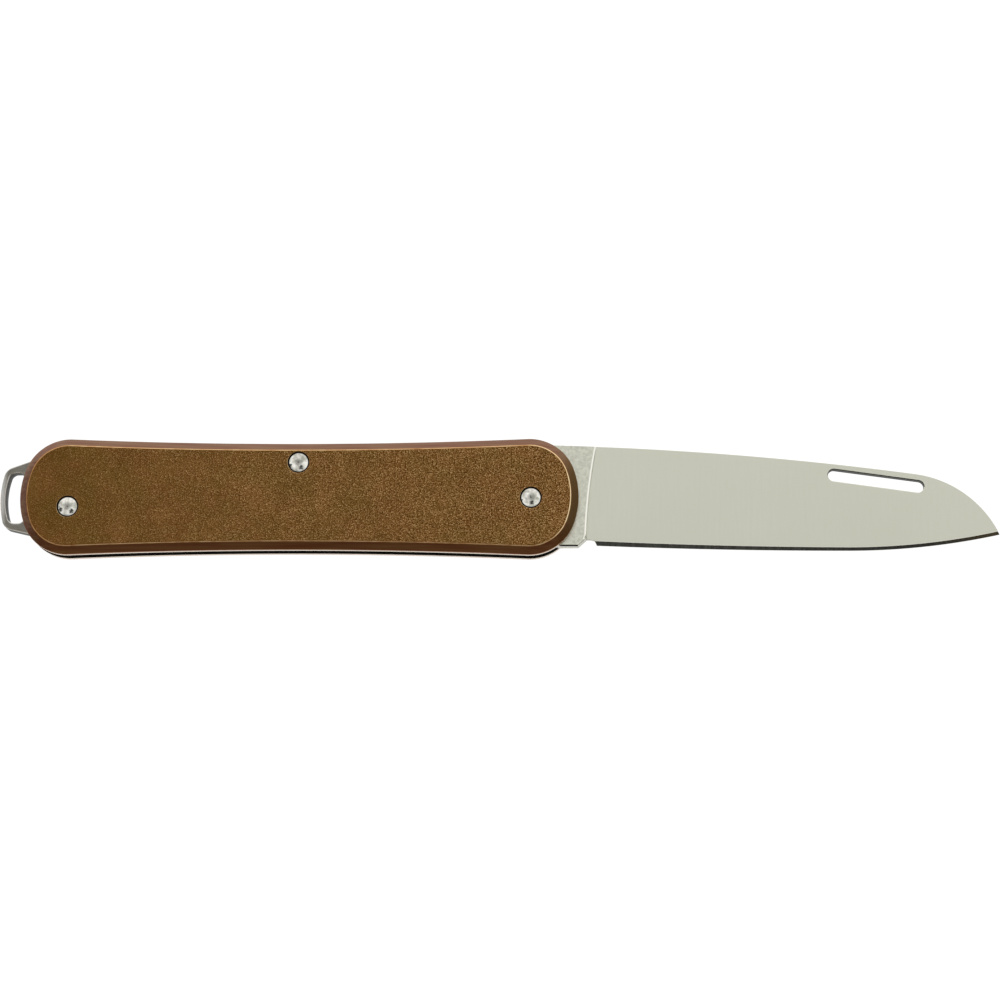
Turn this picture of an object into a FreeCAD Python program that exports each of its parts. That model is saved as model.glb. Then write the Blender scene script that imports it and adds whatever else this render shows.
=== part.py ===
import FreeCAD
import Part
import Sketcher
import os
import re

# Folding pocket knife, a slip joint: two scales on steel liners, one blade and a backspring that ends in a
# lanyard loop, held by three two-piece rivets. It is open and lies on its rear scale.
# +X runs to the blade's tip, +Y to the back of the handle, +Z out of the front scale.
# The origin is under the middle of the whole length, on the rear scale's face.

SIZES = {
    # Handle plates
    "handle_length": 86.7,
    "handle_height": 18.63,
    "waist_inset": 0.93,
    "end_bow": 4.03,
    "corner_radius": 7.3,
    "scale_thickness": 1.2,
    "bevel_width": 1.2,
    "bevel_depth": 0.85,
    "liner_thickness": 0.45,
    # Rivets, counted from the ends, the axis and the back of the handle
    "pivot_from_end": 7.33,
    "pivot_below_axis": 0.31,
    "butt_from_end": 7.61,
    "butt_below_axis": 1.71,
    "middle_from_back": 3.105,
    "head_diameter": 3.0,
    "head_height": 0.55,
    "head_rim": 0.35,
    "head_sink": 0.05,
    "head_clearance": 0.2,
    "rivet_diameter": 2.1,
    "rivet_bore": 1.3,
    "rivet_end_gap": 0.15,
    "press_clearance": 0.01,
    "fit_clearance": 0.02,
    "running_clearance": 0.03,
    # Pivot bush and washers
    "bush_diameter": 4.0,
    "washer_diameter": 7.0,
    "washer_thickness": 0.1,
    "side_clearance": 0.05,
    # Blade, counted from the pivot
    "blade_thickness": 2.0,
    "blade_length": 71.85,
    "tip_drop": 5.28,
    "clip_length": 12.7,
    "clip_rise": 4.12,
    "clip_bow": 2.02,
    "spine_rise": 8.7,
    "spine_bow": 0.81,
    "belly_length": 22.9,
    "belly_drop": 7.8,
    "belly_bow": 0.62,
    "heel_reach": 10.15,
    "heel_drop": 7.05,
    "heel_lead": 0.35,
    "edge_bow": 0.2,
    "choil_reach": 8.45,
    "choil_drop": 6.2,
    "choil_fall": 0.13,
    "choil_bow": 0.08,
    "plunge_top": 10.08,
    "plunge_low": 8.25,
    "plunge_bow": 0.49,
    "grind_step": 0.08,
    "ground_thickness": 0.36,
    "edge_thickness": 0.04,
    "edge_angle": 20.0,
    "edge_cut_reach": 1.6,
    # Tang, counted from the pivot
    "tang_flat": 6.5,
    "tang_lift": 0.6,
    "shoulder_reach": 1.6,
    "kick_back": 4.42,
    "kick_front": 7.26,
    "closed_angle": 171.0,
    # Nail slot
    "slot_from_tip": 18.75,
    "slot_rise": 3.06,
    "slot_length": 14.8,
    "slot_width": 1.87,
    "slot_slope": 7.9,
    # Backspring
    "back_inset": 0.1,
    "tang_gap": 0.04,
    "shoulder_gap": 0.1,
    "spring_flat": 8.0,
    "boss_reach": 3.0,
    "boss_drop": 2.38,
    "flex_gap": 0.1,
    "bar_height": 4.3,
    "bar_length": 18.0,
    "plate_length": 15.8,
    "plate_drop": 1.6,
    "plate_toe": 3.0,
    "plate_hollow": 0.9,
    # Lanyard loop
    "loop_reach": 3.3,
    "loop_root_top": 6.12,
    "loop_root_low": 5.82,
    "loop_end_top": 4.52,
    "loop_end_low": 4.8,
    "loop_bow": 0.75,
    "loop_corner": 1.8,
    "loop_bar": 0.85,
    "loop_hole_length": 3.1,
    "loop_hole_height": 8.06,
    "loop_hole_corner": 1.1,
    # How far a cut runs past what it cuts
    "overrun": 1.0,
}

# Arcs of the handle's outline, worked out from the sizes: hollow sides, round ends and the corners between,
# whose centre lies so far along the line between the other two and so far beside it
ARCS = {
    "back_radius": "((handle_length / 2 - end_bow)^2 + waist_inset^2) / (2 * waist_inset)",
    "end_radius": "((handle_height / 2)^2 + end_bow^2) / (2 * end_bow)",
    "back_centre": "handle_height / 2 - waist_inset + back_radius",
    "end_centre": "handle_length / 2 - end_radius",
    "centre_span": "sqrt(end_centre^2 + back_centre^2)",
    "corner_from_back": "back_radius + corner_radius",
    "corner_from_end": "end_radius - corner_radius",
    "corner_along": "(corner_from_back^2 - corner_from_end^2) / (2 * centre_span) + centre_span / 2",
    "corner_aside": "sqrt(corner_from_back^2 - corner_along^2)",
    "corner_x": "(end_centre * corner_along + back_centre * corner_aside) / centre_span",
    "corner_y": "back_centre + (end_centre * corner_aside - back_centre * corner_along) / centre_span",
}

doc = FreeCAD.newDocument("pocket_knife")
sheet = doc.addObject("Spreadsheet::Sheet", "Sizes")
cells = [*SIZES.items(), *((name, f"={text}") for name, text in ARCS.items())]
for row, (name, content) in enumerate(cells, 1):
    sheet.set(f"A{row}", name)
    sheet.set(f"B{row}", str(content))
    sheet.setAlias(f"B{row}", name)
doc.recompute()


def formula(text):
    """The text with each name of a cell turned into a reference to it."""
    named = {name for name, _ in cells}
    return re.sub("[a-z_]+", lambda word: f"Sizes.{word[0]}" if word[0] in named else word[0], text)


def value(text):
    return float(sheet.evalExpression(formula(text)))


def bind(item, prop, text):
    item.setExpression(prop, formula(text))


def bow_on_circle(radius, start, end):
    """How far an arc of this radius bows from the chord between two points."""
    chord = f"((({end[0]}) - ({start[0]}))^2 + (({end[1]}) - ({start[1]}))^2)"
    return f"({radius} - sqrt(({radius})^2 - {chord} / 4))"


# Places shared by the pieces, written with the names of the sizes

WELL = "(blade_thickness + 2 * washer_thickness + 2 * side_clearance)"
WELL_Z = "(scale_thickness + liner_thickness)"
FRONT_LINER_Z = f"({WELL_Z} + {WELL})"
FRONT_SCALE_Z = f"({FRONT_LINER_Z} + liner_thickness)"
STACK = f"({FRONT_SCALE_Z} + scale_thickness)"
COUNTERBORE_DEPTH = "(head_height + head_sink)"
GRIP = f"({STACK} - 2 * {COUNTERBORE_DEPTH})"

PIVOT = ("(handle_length / 2 - pivot_from_end)", "(-pivot_below_axis)")
MIDDLE = ("0", "(handle_height / 2 - waist_inset - middle_from_back)")
BUTT = ("(butt_from_end - handle_length / 2)", "(-butt_below_axis)")
RIVETS = {"pivot": PIVOT, "middle": MIDDLE, "butt": BUTT}

LENGTH_MIDDLE = f"(({PIVOT[0]} + blade_length - handle_length / 2 - loop_reach) / 2)"


def back_y(x):
    """Height of the backspring's back, which follows the plates a little inside them."""
    return f"(back_centre - back_inset - sqrt(back_radius^2 - ({x})^2))"


# The corner that the backspring's back turns into, and how far from the handle's middle it begins
TURN_RADIUS = "(corner_radius - back_inset)"
BACK_TURN = f"(corner_x - corner_x * {TURN_RADIUS} / corner_from_back)"


# Ways of drawing and cutting


def new_body(label):
    body = doc.addObject("PartDesign::Body", label)
    body.Label = label
    return body


def place(body, x, y, z):
    bind(body, "Placement.Base.x", f"{x} - {LENGTH_MIDDLE}")
    bind(body, "Placement.Base.y", y)
    bind(body, "Placement.Base.z", z)


def origin_plane(body, role):
    return next(feature for feature in body.Origin.OriginFeatures if feature.Role == role)


def new_sketch(body, name, role="XY_Plane"):
    sketch = body.newObject("Sketcher::SketchObject", f"{body.Name}_{name}")
    sketch.AttachmentSupport = (origin_plane(body, role), "")
    sketch.MapMode = "FlatFace"
    return sketch


def hold_point(sketch, side, end, x, y):
    """Ties a point of a sketch to its two coordinates."""
    for kind, axis, text in (("DistanceX", -2, x), ("DistanceY", -1, y)):
        if text == "0":
            sketch.addConstraint(Sketcher.Constraint("PointOnObject", side, end, axis))
        else:
            index = sketch.addConstraint(Sketcher.Constraint(kind, -1, 1, side, end, value(text)))
            bind(sketch, f"Constraints[{index}]", text)


def outline(sketch, corners, closed=True):
    """Sides through the corners, anticlockwise. A corner is x, y and how far its next side bows outward."""
    places = [FreeCAD.Vector(value(x), value(y), 0) for x, y, _ in corners]
    count = len(corners) if closed else len(corners) - 1
    sides = []
    for index in range(count):
        after = (index + 1) % len(corners)
        start, end, bow = places[index], places[after], corners[index][2]
        if bow == "0":
            side = sketch.addGeometry(Part.LineSegment(start, end))
        else:
            outward = FreeCAD.Vector(end.y - start.y, start.x - end.x, 0).normalize()
            side = sketch.addGeometry(Part.Arc(start, (start + end) / 2 + outward * value(bow), end))
        first, last = (1, 2)
        if sketch.getPoint(side, 1).distanceToPoint(start) > sketch.getPoint(side, 2).distanceToPoint(start):
            first, last = (2, 1)
        sides.append((side, first, last))
    for index, (side, _, last) in enumerate(sides):
        if closed or index + 1 < count:
            after_side, after_first, _ = sides[(index + 1) % count]
            sketch.addConstraint(Sketcher.Constraint("Coincident", side, last, after_side, after_first))
    for index, (side, first, last) in enumerate(sides):
        x, y, bow = corners[index]
        after_x, after_y, _ = corners[(index + 1) % len(corners)]
        hold_point(sketch, side, first, x, y)
        if not closed and index + 1 == count:
            hold_point(sketch, side, last, after_x, after_y)
        if bow != "0":
            chord = f"((({after_x}) - ({x}))^2 + (({after_y}) - ({y}))^2)"
            hold_radius(sketch, side, f"({chord} / (8 * abs({bow})) + abs({bow}) / 2)")


def tangent_chain(sketch, runs):
    """Closed chain of lines, by two points, and arcs, by three, each tangent to the next."""
    sides = []
    ends = []
    for points in runs:
        curve = Part.Arc(*points) if len(points) == 3 else Part.LineSegment(*points)
        side = sketch.addGeometry(curve)
        tail = sketch.getPoint(side, 1)
        forward = tail.distanceToPoint(points[0]) < tail.distanceToPoint(points[-1])
        sides.append(side)
        ends.append((1, 2) if forward else (2, 1))
    for index, side in enumerate(sides):
        after = (index + 1) % len(sides)
        joint = Sketcher.Constraint("Tangent", side, ends[index][1], sides[after], ends[after][0])
        sketch.addConstraint(joint)
    return sides


def hold_radius(sketch, side, radius):
    held = sketch.addConstraint(Sketcher.Constraint("Radius", side, value(radius)))
    bind(sketch, f"Constraints[{held}]", radius)


def circle(sketch, x, y, diameter):
    centre = FreeCAD.Vector(value(x), value(y), 0)
    ring = sketch.addGeometry(Part.Circle(centre, FreeCAD.Vector(0, 0, 1), value(diameter) / 2))
    if x == "0" and y == "0":
        sketch.addConstraint(Sketcher.Constraint("Coincident", ring, 3, -1, 1))
    else:
        hold_point(sketch, ring, 3, x, y)
    held = sketch.addConstraint(Sketcher.Constraint("Diameter", ring, value(diameter)))
    bind(sketch, f"Constraints[{held}]", diameter)


def pad(body, sketch, thickness, midplane=False):
    feature = body.newObject("PartDesign::Pad", f"{body.Name}_pad")
    feature.Profile = sketch
    feature.Midplane = midplane
    bind(feature, "Length", thickness)
    doc.recompute()
    return feature


def pocket(body, sketch, depth=None, reverse=False, midplane=False):
    """A cut down into the body, or up where reversed, right through where no depth is given."""
    before = body.Shape.Volume
    feature = body.newObject("PartDesign::Pocket", f"{body.Name}_pocket")
    feature.Profile = sketch
    feature.Reversed = reverse
    feature.Midplane = midplane
    if depth:
        bind(feature, "Length", depth)
    else:
        feature.Type = "ThroughAll"
    doc.recompute()
    if body.Shape.Volume >= before:
        raise RuntimeError(f"{feature.Name} cuts nothing")
    return feature


# Points this share of an edge's length apart count as the same place
SAME_PLACE = 1e-3


def upright_edges(shape, places):
    """Names of the edges along Z that stand at the given places."""
    names = []
    for index, edge in enumerate(shape.Edges, 1):
        near = edge.Length * SAME_PLACE
        ends = [vertex.Point for vertex in edge.Vertexes]
        for x, y in places:
            if len(ends) == 2 and all(abs(end.x - x) + abs(end.y - y) < near for end in ends):
                names.append(f"Edge{index}")
    return names


def round_corners(body, base, places, radius):
    """Rounds the upright edges at these places of a padded or cut outline."""
    feature = body.newObject("PartDesign::Fillet", f"{body.Name}_fillet")
    feature.Base = (base, upright_edges(base.Shape, [(value(x), value(y)) for x, y in places]))
    bind(feature, "Radius", radius)
    doc.recompute()
    return feature


# Scales and liners


def handle_arcs():
    """First guess of the outline's eight arcs, anticlockwise from the belly, each by three points."""
    back_centre = FreeCAD.Vector(0, value("back_centre"), 0)
    end_centre = FreeCAD.Vector(value("end_centre"), 0, 0)
    corner = FreeCAD.Vector(value("corner_x"), value("corner_y"), 0)
    corner_radius = value("corner_radius")
    to_back = (back_centre - corner).normalize() * corner_radius
    to_end = (corner - end_centre).normalize() * corner_radius
    on_back, on_end = corner + to_back, corner + to_end
    on_corner = corner + (to_back + to_end).normalize() * corner_radius

    def turned_to(point, x_sign, y_sign):
        return FreeCAD.Vector(point.x * x_sign, point.y * y_sign, 0)

    middle = FreeCAD.Vector(0, value("handle_height / 2 - waist_inset"), 0)
    end = FreeCAD.Vector(value("handle_length / 2"), 0, 0)
    quarter = [on_back, on_corner, on_end, end]
    stations = [turned_to(point, 1, -1) for point in [middle, *quarter]]
    stations += [turned_to(point, 1, 1) for point in quarter[-2::-1]]
    stations += [turned_to(point, -1, 1) for point in [middle, *quarter]]
    stations += [turned_to(point, -1, -1) for point in quarter[-2::-1]]
    count = len(stations)
    return [[stations[(index + step) % count] for step in (-1, 0, 1)] for index in range(0, count, 2)]


def handle_outline(sketch):
    """Waisted back and belly, round ends and softened corners, each arc tangent to the next."""
    sides = tangent_chain(sketch, handle_arcs())
    centres = [("0", "(-back_centre)"), ("end_centre", "0"), ("0", "back_centre"), ("(-end_centre)", "0")]
    radii = ["back_radius", "corner_radius", "end_radius", "corner_radius"] * 2
    for side, centre in zip(sides[::2], centres):
        hold_point(sketch, side, 3, *centre)
    for side, radius in zip(sides, radii):
        hold_radius(sketch, side, radius)


def handle_plate(label, thickness, base_z):
    body = new_body(label)
    sketch = new_sketch(body, "outline")
    handle_outline(sketch)
    plate = pad(body, sketch, thickness)
    place(body, "0", "0", base_z)
    return body, plate


def rivet_holes(body, name, diameter, surface_z, depth=None, reverse=False):
    sketch = new_sketch(body, name)
    bind(sketch, "AttachmentOffset.Base.z", surface_z)
    for x, y in RIVETS.values():
        circle(sketch, x, y, diameter)
    pocket(body, sketch, depth, reverse)


def scale(label, base_z, outer_z, faces_rear):
    """Bevelled cover plate. The rivet heads sit in counterbores in its outer face."""
    body, plate = handle_plate(label, "scale_thickness", base_z)
    rim = []
    for index, edge in enumerate(plate.Shape.Edges, 1):
        near = edge.Length * SAME_PLACE
        if all(abs(vertex.Point.z - value(outer_z)) < near for vertex in edge.Vertexes):
            rim.append(f"Edge{index}")
    bevel = body.newObject("PartDesign::Chamfer", f"{label}_bevel")
    bevel.Base = (plate, rim)
    bevel.ChamferType = "Two distances"
    bind(bevel, "Size", "bevel_depth")
    bind(bevel, "Size2", "bevel_width")
    doc.recompute()
    rivet_holes(body, "holes", "(rivet_diameter + 2 * fit_clearance)", outer_z, None, faces_rear)
    rivet_holes(body, "counterbores", "(head_diameter + 2 * head_clearance)", outer_z,
                COUNTERBORE_DEPTH, faces_rear)
    return body


def liner(label, base_z):
    body, _ = handle_plate(label, "liner_thickness", base_z)
    rivet_holes(body, "holes", "(rivet_diameter + 2 * fit_clearance)", "liner_thickness")
    return body


pieces = [
    scale("rear_scale", "0", "0", True),
    liner("rear_liner", "scale_thickness"),
    liner("front_liner", FRONT_LINER_Z),
    scale("front_scale", FRONT_SCALE_Z, "scale_thickness", False),
]


# Blade, drawn about the pivot on its own middle plane

TANG_RADIUS = "(tang_flat + tang_lift)"
TANG_RUN = f"sqrt({TANG_RADIUS}^2 - tang_flat^2)"
KICK_DROP = "((tang_flat + kick_back * sin(closed_angle)) / -cos(closed_angle))"
CLOSED_FLAT_END = (
    f"({TANG_RUN} * cos(closed_angle) - tang_flat * sin(closed_angle))",
    f"(tang_flat * cos(closed_angle) + {TANG_RUN} * sin(closed_angle))",
)
OPEN_FLAT_END = (f"(-{TANG_RUN})", "tang_flat")
HALF_STOP_TOP = ("(-tang_flat)", TANG_RUN)
HALF_STOP_LOW = ("(-tang_flat)", f"(-{TANG_RUN})")
HEEL = ("heel_reach", "(-heel_drop)")
BELLY = ("(blade_length - belly_length)", "(-belly_drop)")
TIP = ("blade_length", "(-tip_drop)")


def cut_grind(body):
    """Flat grind of one face: everything above a plane that starts a step down and falls to the edge."""
    field = new_sketch(body, "grind")
    field.AttachmentOffset = FreeCAD.Placement(FreeCAD.Vector(), FreeCAD.Rotation(FreeCAD.Vector(1, 0, 0), 1))
    bind(field, "AttachmentOffset.Rotation.Angle",
         "atan(((blade_thickness - ground_thickness) / 2 - grind_step) / (spine_rise + belly_drop))")
    bind(field, "AttachmentOffset.Base.y", "spine_rise")
    bind(field, "AttachmentOffset.Base.z", "blade_thickness / 2 - grind_step")
    low = "(-spine_rise - belly_drop - overrun)"
    outline(field, [
        ("plunge_low", low, "0"),
        ("(blade_length + overrun)", low, "0"),
        ("(blade_length + overrun)", "overrun", "0"),
        ("plunge_top", "overrun", "plunge_bow"),
    ])
    return pocket(body, field, "blade_thickness", True)


def cut_edge(body):
    """Sharpened bevel of one face, swept along the edge from the heel to the tip."""
    path = new_sketch(body, "edge_path")
    outline(path, [(*HEEL, "edge_bow"), (*BELLY, "belly_bow"), (*TIP, "0")], closed=False)
    section = new_sketch(body, "edge_section", "YZ_Plane")
    bind(section, "AttachmentOffset.Base.x", HEEL[1])
    bind(section, "AttachmentOffset.Base.z", HEEL[0])
    outline(section, [
        ("(-overrun)", "(edge_thickness / 2 - overrun * tan(edge_angle))", "0"),
        ("edge_cut_reach", "(edge_thickness / 2 + edge_cut_reach * tan(edge_angle))", "0"),
        ("(-overrun)", "(edge_thickness / 2 + edge_cut_reach * tan(edge_angle))", "0"),
    ])
    before = body.Shape.Volume
    bevel = body.newObject("PartDesign::SubtractivePipe", "blade_edge_bevel")
    bevel.Profile = section
    bevel.Spine = (path, ["Edge1", "Edge2"])
    bevel.Mode = "Binormal"
    bevel.Binormal = FreeCAD.Vector(0, 0, 1)
    doc.recompute()
    if body.Shape.Volume >= before:
        raise RuntimeError("the edge bevel cuts nothing")
    return bevel


def slot_outline(sketch, run, radius):
    """Slot with round ends whose centres lie a run each side of the sketch's origin."""
    side, end, top = value(run), value(run) + value(radius), value(radius)
    points = [(-side, -top), (side, -top), (end, 0), (side, top), (-side, top), (-end, 0)]
    low_left, low_right, right, top_right, top_left, left = [FreeCAD.Vector(x, y, 0) for x, y in points]
    sides = tangent_chain(sketch, [
        [low_left, low_right],
        [low_right, right, top_right],
        [top_right, top_left],
        [top_left, left, low_left],
    ])
    for side, centre in ((sides[1], run), (sides[3], f"(-{run})")):
        hold_point(sketch, side, 3, centre, "0")
        hold_radius(sketch, side, radius)


def make_blade():
    body = new_body("blade")
    profile = new_sketch(body, "outline")
    outline(profile, [
        (*CLOSED_FLAT_END, "0"),
        ("kick_back", f"(-{KICK_DROP})", "0"),
        ("kick_front", f"(-{KICK_DROP})", "0"),
        ("choil_reach", "(-choil_drop)", "(-choil_bow)"),
        ("(heel_reach - heel_lead)", "(-choil_drop - choil_fall)", "0"),
        (*HEEL, "edge_bow"),
        (*BELLY, "belly_bow"),
        (*TIP, "clip_bow"),
        ("(blade_length - clip_length)", "clip_rise", "spine_bow"),
        ("shoulder_reach", "spine_rise", "0"),
        ("shoulder_reach", "tang_flat", "0"),
        (*OPEN_FLAT_END, bow_on_circle(TANG_RADIUS, OPEN_FLAT_END, HALF_STOP_TOP)),
        (*HALF_STOP_TOP, "0"),
        (*HALF_STOP_LOW, bow_on_circle(TANG_RADIUS, HALF_STOP_LOW, CLOSED_FLAT_END)),
    ])
    pad(body, profile, "blade_thickness", True)
    faces = [cut_grind(body), cut_edge(body)]
    mirrored = body.newObject("PartDesign::Mirrored", "blade_rear_face")
    mirrored.Originals = faces
    mirrored.MirrorPlane = (origin_plane(body, "XY_Plane"), [""])
    body.Tip = mirrored
    doc.recompute()
    bore = new_sketch(body, "bore")
    circle(bore, "0", "0", "(bush_diameter + 2 * running_clearance)")
    pocket(body, bore, midplane=True)
    slot = new_sketch(body, "nail_slot")
    bind(slot, "AttachmentOffset.Base.x", "blade_length - slot_from_tip")
    bind(slot, "AttachmentOffset.Base.y", "slot_rise")
    bind(slot, "AttachmentOffset.Rotation.Angle", "-slot_slope")
    slot_outline(slot, "((slot_length - slot_width) / 2)", "(slot_width / 2)")
    pocket(body, slot, midplane=True)
    place(body, *PIVOT, f"{WELL_Z} + {WELL} / 2")
    return body


pieces.append(make_blade())


# Backspring: the butt half with the loop stays put, the arm flexes about the middle rivet

SPRING_UNDER = f"({PIVOT[1]} + tang_flat + tang_gap)"
SPRING_END = f"({PIVOT[0]} + shoulder_reach - shoulder_gap)"
BOSS_LOW = f"({MIDDLE[1]} - boss_drop)"


def make_spring_arm():
    body = new_body("backspring_arm")
    sketch = new_sketch(body, "outline")
    back_end = (SPRING_END, f"(corner_y + sqrt({TURN_RADIUS}^2 - ({SPRING_END} - corner_x)^2))")
    back_turn = (BACK_TURN, back_y(BACK_TURN))
    back_root = ("(-boss_reach)", back_y("boss_reach"))
    outline(sketch, [
        ("(-boss_reach)", BOSS_LOW, "0"),
        ("boss_reach", BOSS_LOW, "0"),
        (f"({SPRING_END} - spring_flat)", SPRING_UNDER, "0"),
        (SPRING_END, SPRING_UNDER, "0"),
        (*back_end, bow_on_circle(TURN_RADIUS, back_end, back_turn)),
        (*back_turn, f"(-{bow_on_circle('back_radius', back_turn, back_root)})"),
        (*back_root, "0"),
    ])
    circle(sketch, *MIDDLE, "(rivet_diameter + 2 * running_clearance)")
    pad(body, sketch, f"({WELL} - 2 * running_clearance)")
    place(body, "0", "0", f"{WELL_Z} + running_clearance")
    return body


def make_spring_root():
    """Butt half: a bar along the back, a plate round the butt rivet and the loop beyond the handle's end."""
    body = new_body("backspring_root")
    flex_x = "(-boss_reach - flex_gap)"
    back_front = (flex_x, back_y(flex_x))
    back_turn = (f"(-{BACK_TURN})", back_y(BACK_TURN))
    loop_top_x = f"(-corner_x - sqrt({TURN_RADIUS}^2 - (loop_root_top - corner_y)^2))"
    loop_top = (loop_top_x, "loop_root_top")
    loop_end = "(loop_bow - handle_length / 2 - loop_reach)"
    bar_x = f"({flex_x} - bar_length)"
    sketch = new_sketch(body, "outline")
    outline(sketch, [
        (flex_x, BOSS_LOW, "0"),
        (*back_front, f"(-{bow_on_circle('back_radius', back_front, back_turn)})"),
        (*back_turn, bow_on_circle(TURN_RADIUS, back_turn, loop_top)),
        (*loop_top, "0"),
        (loop_end, "loop_end_top", "loop_bow"),
        (loop_end, "(-loop_end_low)", "0"),
        (loop_top[0], "(-loop_root_low)", "0"),
        (f"({loop_top[0]} + plate_toe)", "(-loop_root_low)", "0"),
        ("(plate_length - handle_length / 2)", "(-plate_drop)", "(-plate_hollow)"),
        (bar_x, f"({back_y(bar_x)} - bar_height)", "0"),
    ])
    plate = pad(body, sketch, WELL)
    loop_ends = [(loop_end, "loop_end_top"), (loop_end, "-loop_end_low")]
    round_corners(body, plate, loop_ends, "loop_corner")
    hole = new_sketch(body, "loop_hole")
    bind(hole, "AttachmentOffset.Base.z", WELL)
    near = f"({loop_end} + loop_bar)"
    far = f"({near} - loop_bow + loop_hole_length)"
    corners = [(x, f"({sign}loop_hole_height / 2)") for x in (near, far) for sign in ("-", "")]
    outline(hole, [(*corners[0], "0"), (*corners[2], "0"), (*corners[3], "0"), (*corners[1], "loop_bow")])
    cut = pocket(body, hole)
    round_corners(body, cut, corners, "loop_hole_corner")
    rivet = new_sketch(body, "butt_hole")
    bind(rivet, "AttachmentOffset.Base.z", WELL)
    circle(rivet, *BUTT, "(rivet_diameter + 2 * fit_clearance)")
    pocket(body, rivet)
    place(body, "0", "0", WELL_Z)
    return body


pieces += [make_spring_root(), make_spring_arm()]


# Pivot bush and washers


def ring(label, outer, inner, thickness, base_z):
    body = new_body(label)
    sketch = new_sketch(body, "outline")
    circle(sketch, "0", "0", outer)
    circle(sketch, "0", "0", inner)
    pad(body, sketch, thickness)
    place(body, *PIVOT, base_z)
    return body


washer_bore = "(bush_diameter + 2 * fit_clearance)"
pieces += [
    ring("pivot_bushing", "bush_diameter", "(rivet_diameter + 2 * fit_clearance)", WELL, WELL_Z),
    ring("rear_pivot_washer", "washer_diameter", washer_bore, "washer_thickness", WELL_Z),
    ring("front_pivot_washer", "washer_diameter", washer_bore, "washer_thickness",
         f"({FRONT_LINER_Z} - washer_thickness)"),
]


# Two-piece rivets: a barrel from the front, a pin pressed into it from the rear

HEAD_TOP = ("0", "head_height")
HEAD_RIM = ("(head_diameter / 2)", "head_rim")
DOME_RISE = "(head_height - head_rim)"
DOME_RADIUS = f"((head_diameter^2 / 4 + {DOME_RISE}^2) / (2 * {DOME_RISE}))"
DOME = (*HEAD_RIM, bow_on_circle(DOME_RADIUS, HEAD_RIM, HEAD_TOP))


def turned(label, section, x, y, z, faces_rear):
    """A piece turned about its own axis, with its head up or, facing the rear, down."""
    body = new_body(label)
    sketch = new_sketch(body, "section", "XZ_Plane")
    outline(sketch, section)
    turn = body.newObject("PartDesign::Revolution", f"{label}_turn")
    turn.Profile = sketch
    turn.ReferenceAxis = (sketch, ["V_Axis"])
    turn.Angle = 360
    if faces_rear:
        body.Placement = FreeCAD.Placement(FreeCAD.Vector(), FreeCAD.Rotation(FreeCAD.Vector(1, 0, 0), 180))
    place(body, x, y, z)
    return body


def rivet(name, x, y):
    shank_end = f"(rivet_end_gap - {GRIP})"
    barrel = turned(f"{name}_rivet_barrel", [
        ("0", "0", "0"),
        ("(rivet_bore / 2)", "0", "0"),
        ("(rivet_bore / 2)", shank_end, "0"),
        ("(rivet_diameter / 2)", shank_end, "0"),
        ("(rivet_diameter / 2)", "0", "0"),
        ("(head_diameter / 2)", "0", "0"),
        DOME,
        (*HEAD_TOP, "0"),
    ], x, y, f"{STACK} - {COUNTERBORE_DEPTH}", False)
    pin_radius = "(rivet_bore / 2 - press_clearance)"
    pin = turned(f"{name}_rivet_pin", [
        ("0", shank_end, "0"),
        (pin_radius, shank_end, "0"),
        (pin_radius, "0", "0"),
        ("(head_diameter / 2)", "0", "0"),
        DOME,
        (*HEAD_TOP, "0"),
    ], x, y, COUNTERBORE_DEPTH, True)
    return [barrel, pin]


for name, (x, y) in RIVETS.items():
    pieces += rivet(name, x, y)


# Everything is whole before anything is written

doc.recompute()
for item in doc.Objects:
    if "Invalid" in item.State or "Error" in item.State:
        raise RuntimeError(f"{item.Label} did not compute")
for body in pieces:
    if body.Shape.isNull() or not body.Shape.isValid() or len(body.Shape.Solids) != 1:
        raise RuntimeError(f"{body.Label} is not one valid solid")

os.makedirs("parts", exist_ok=True)
for body in pieces:
    body.Shape.exportStep(f"parts/{body.Label}.step")
    box = body.Shape.BoundBox
    print(f"{body.Label}: {body.Shape.Volume:.2f} mm3, x {box.XMin:.2f} to {box.XMax:.2f}, "
          f"y {box.YMin:.2f} to {box.YMax:.2f}, z {box.ZMin:.2f} to {box.ZMax:.2f}")
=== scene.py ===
import math

import bmesh
import bpy
import numpy as np
from mathutils import Matrix, Vector
from mathutils.geometry import delaunay_2d_cdt


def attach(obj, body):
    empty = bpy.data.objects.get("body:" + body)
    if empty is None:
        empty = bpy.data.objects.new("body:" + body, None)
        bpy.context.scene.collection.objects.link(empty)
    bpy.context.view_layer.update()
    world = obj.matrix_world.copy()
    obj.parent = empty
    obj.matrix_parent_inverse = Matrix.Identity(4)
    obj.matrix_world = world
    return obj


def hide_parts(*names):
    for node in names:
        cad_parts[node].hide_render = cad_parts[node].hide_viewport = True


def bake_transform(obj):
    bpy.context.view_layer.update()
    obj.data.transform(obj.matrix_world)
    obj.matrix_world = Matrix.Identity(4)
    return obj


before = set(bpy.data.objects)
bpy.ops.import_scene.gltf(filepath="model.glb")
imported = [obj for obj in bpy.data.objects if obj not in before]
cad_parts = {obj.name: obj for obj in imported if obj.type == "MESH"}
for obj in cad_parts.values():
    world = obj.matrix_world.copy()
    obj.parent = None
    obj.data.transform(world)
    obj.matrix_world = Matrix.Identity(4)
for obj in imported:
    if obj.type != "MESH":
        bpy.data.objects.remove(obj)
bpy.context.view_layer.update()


# Scales: the two cover plates of the handle, aluminium sheet blasted with fine grit and anodised bronze.
# The rim is milled to a smooth bevel. The corner where it meets the face is painted bright, partly wear and
# partly a painted highlight.
# Three counterbores take the rivet heads, which clamp the plates down.

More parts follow.
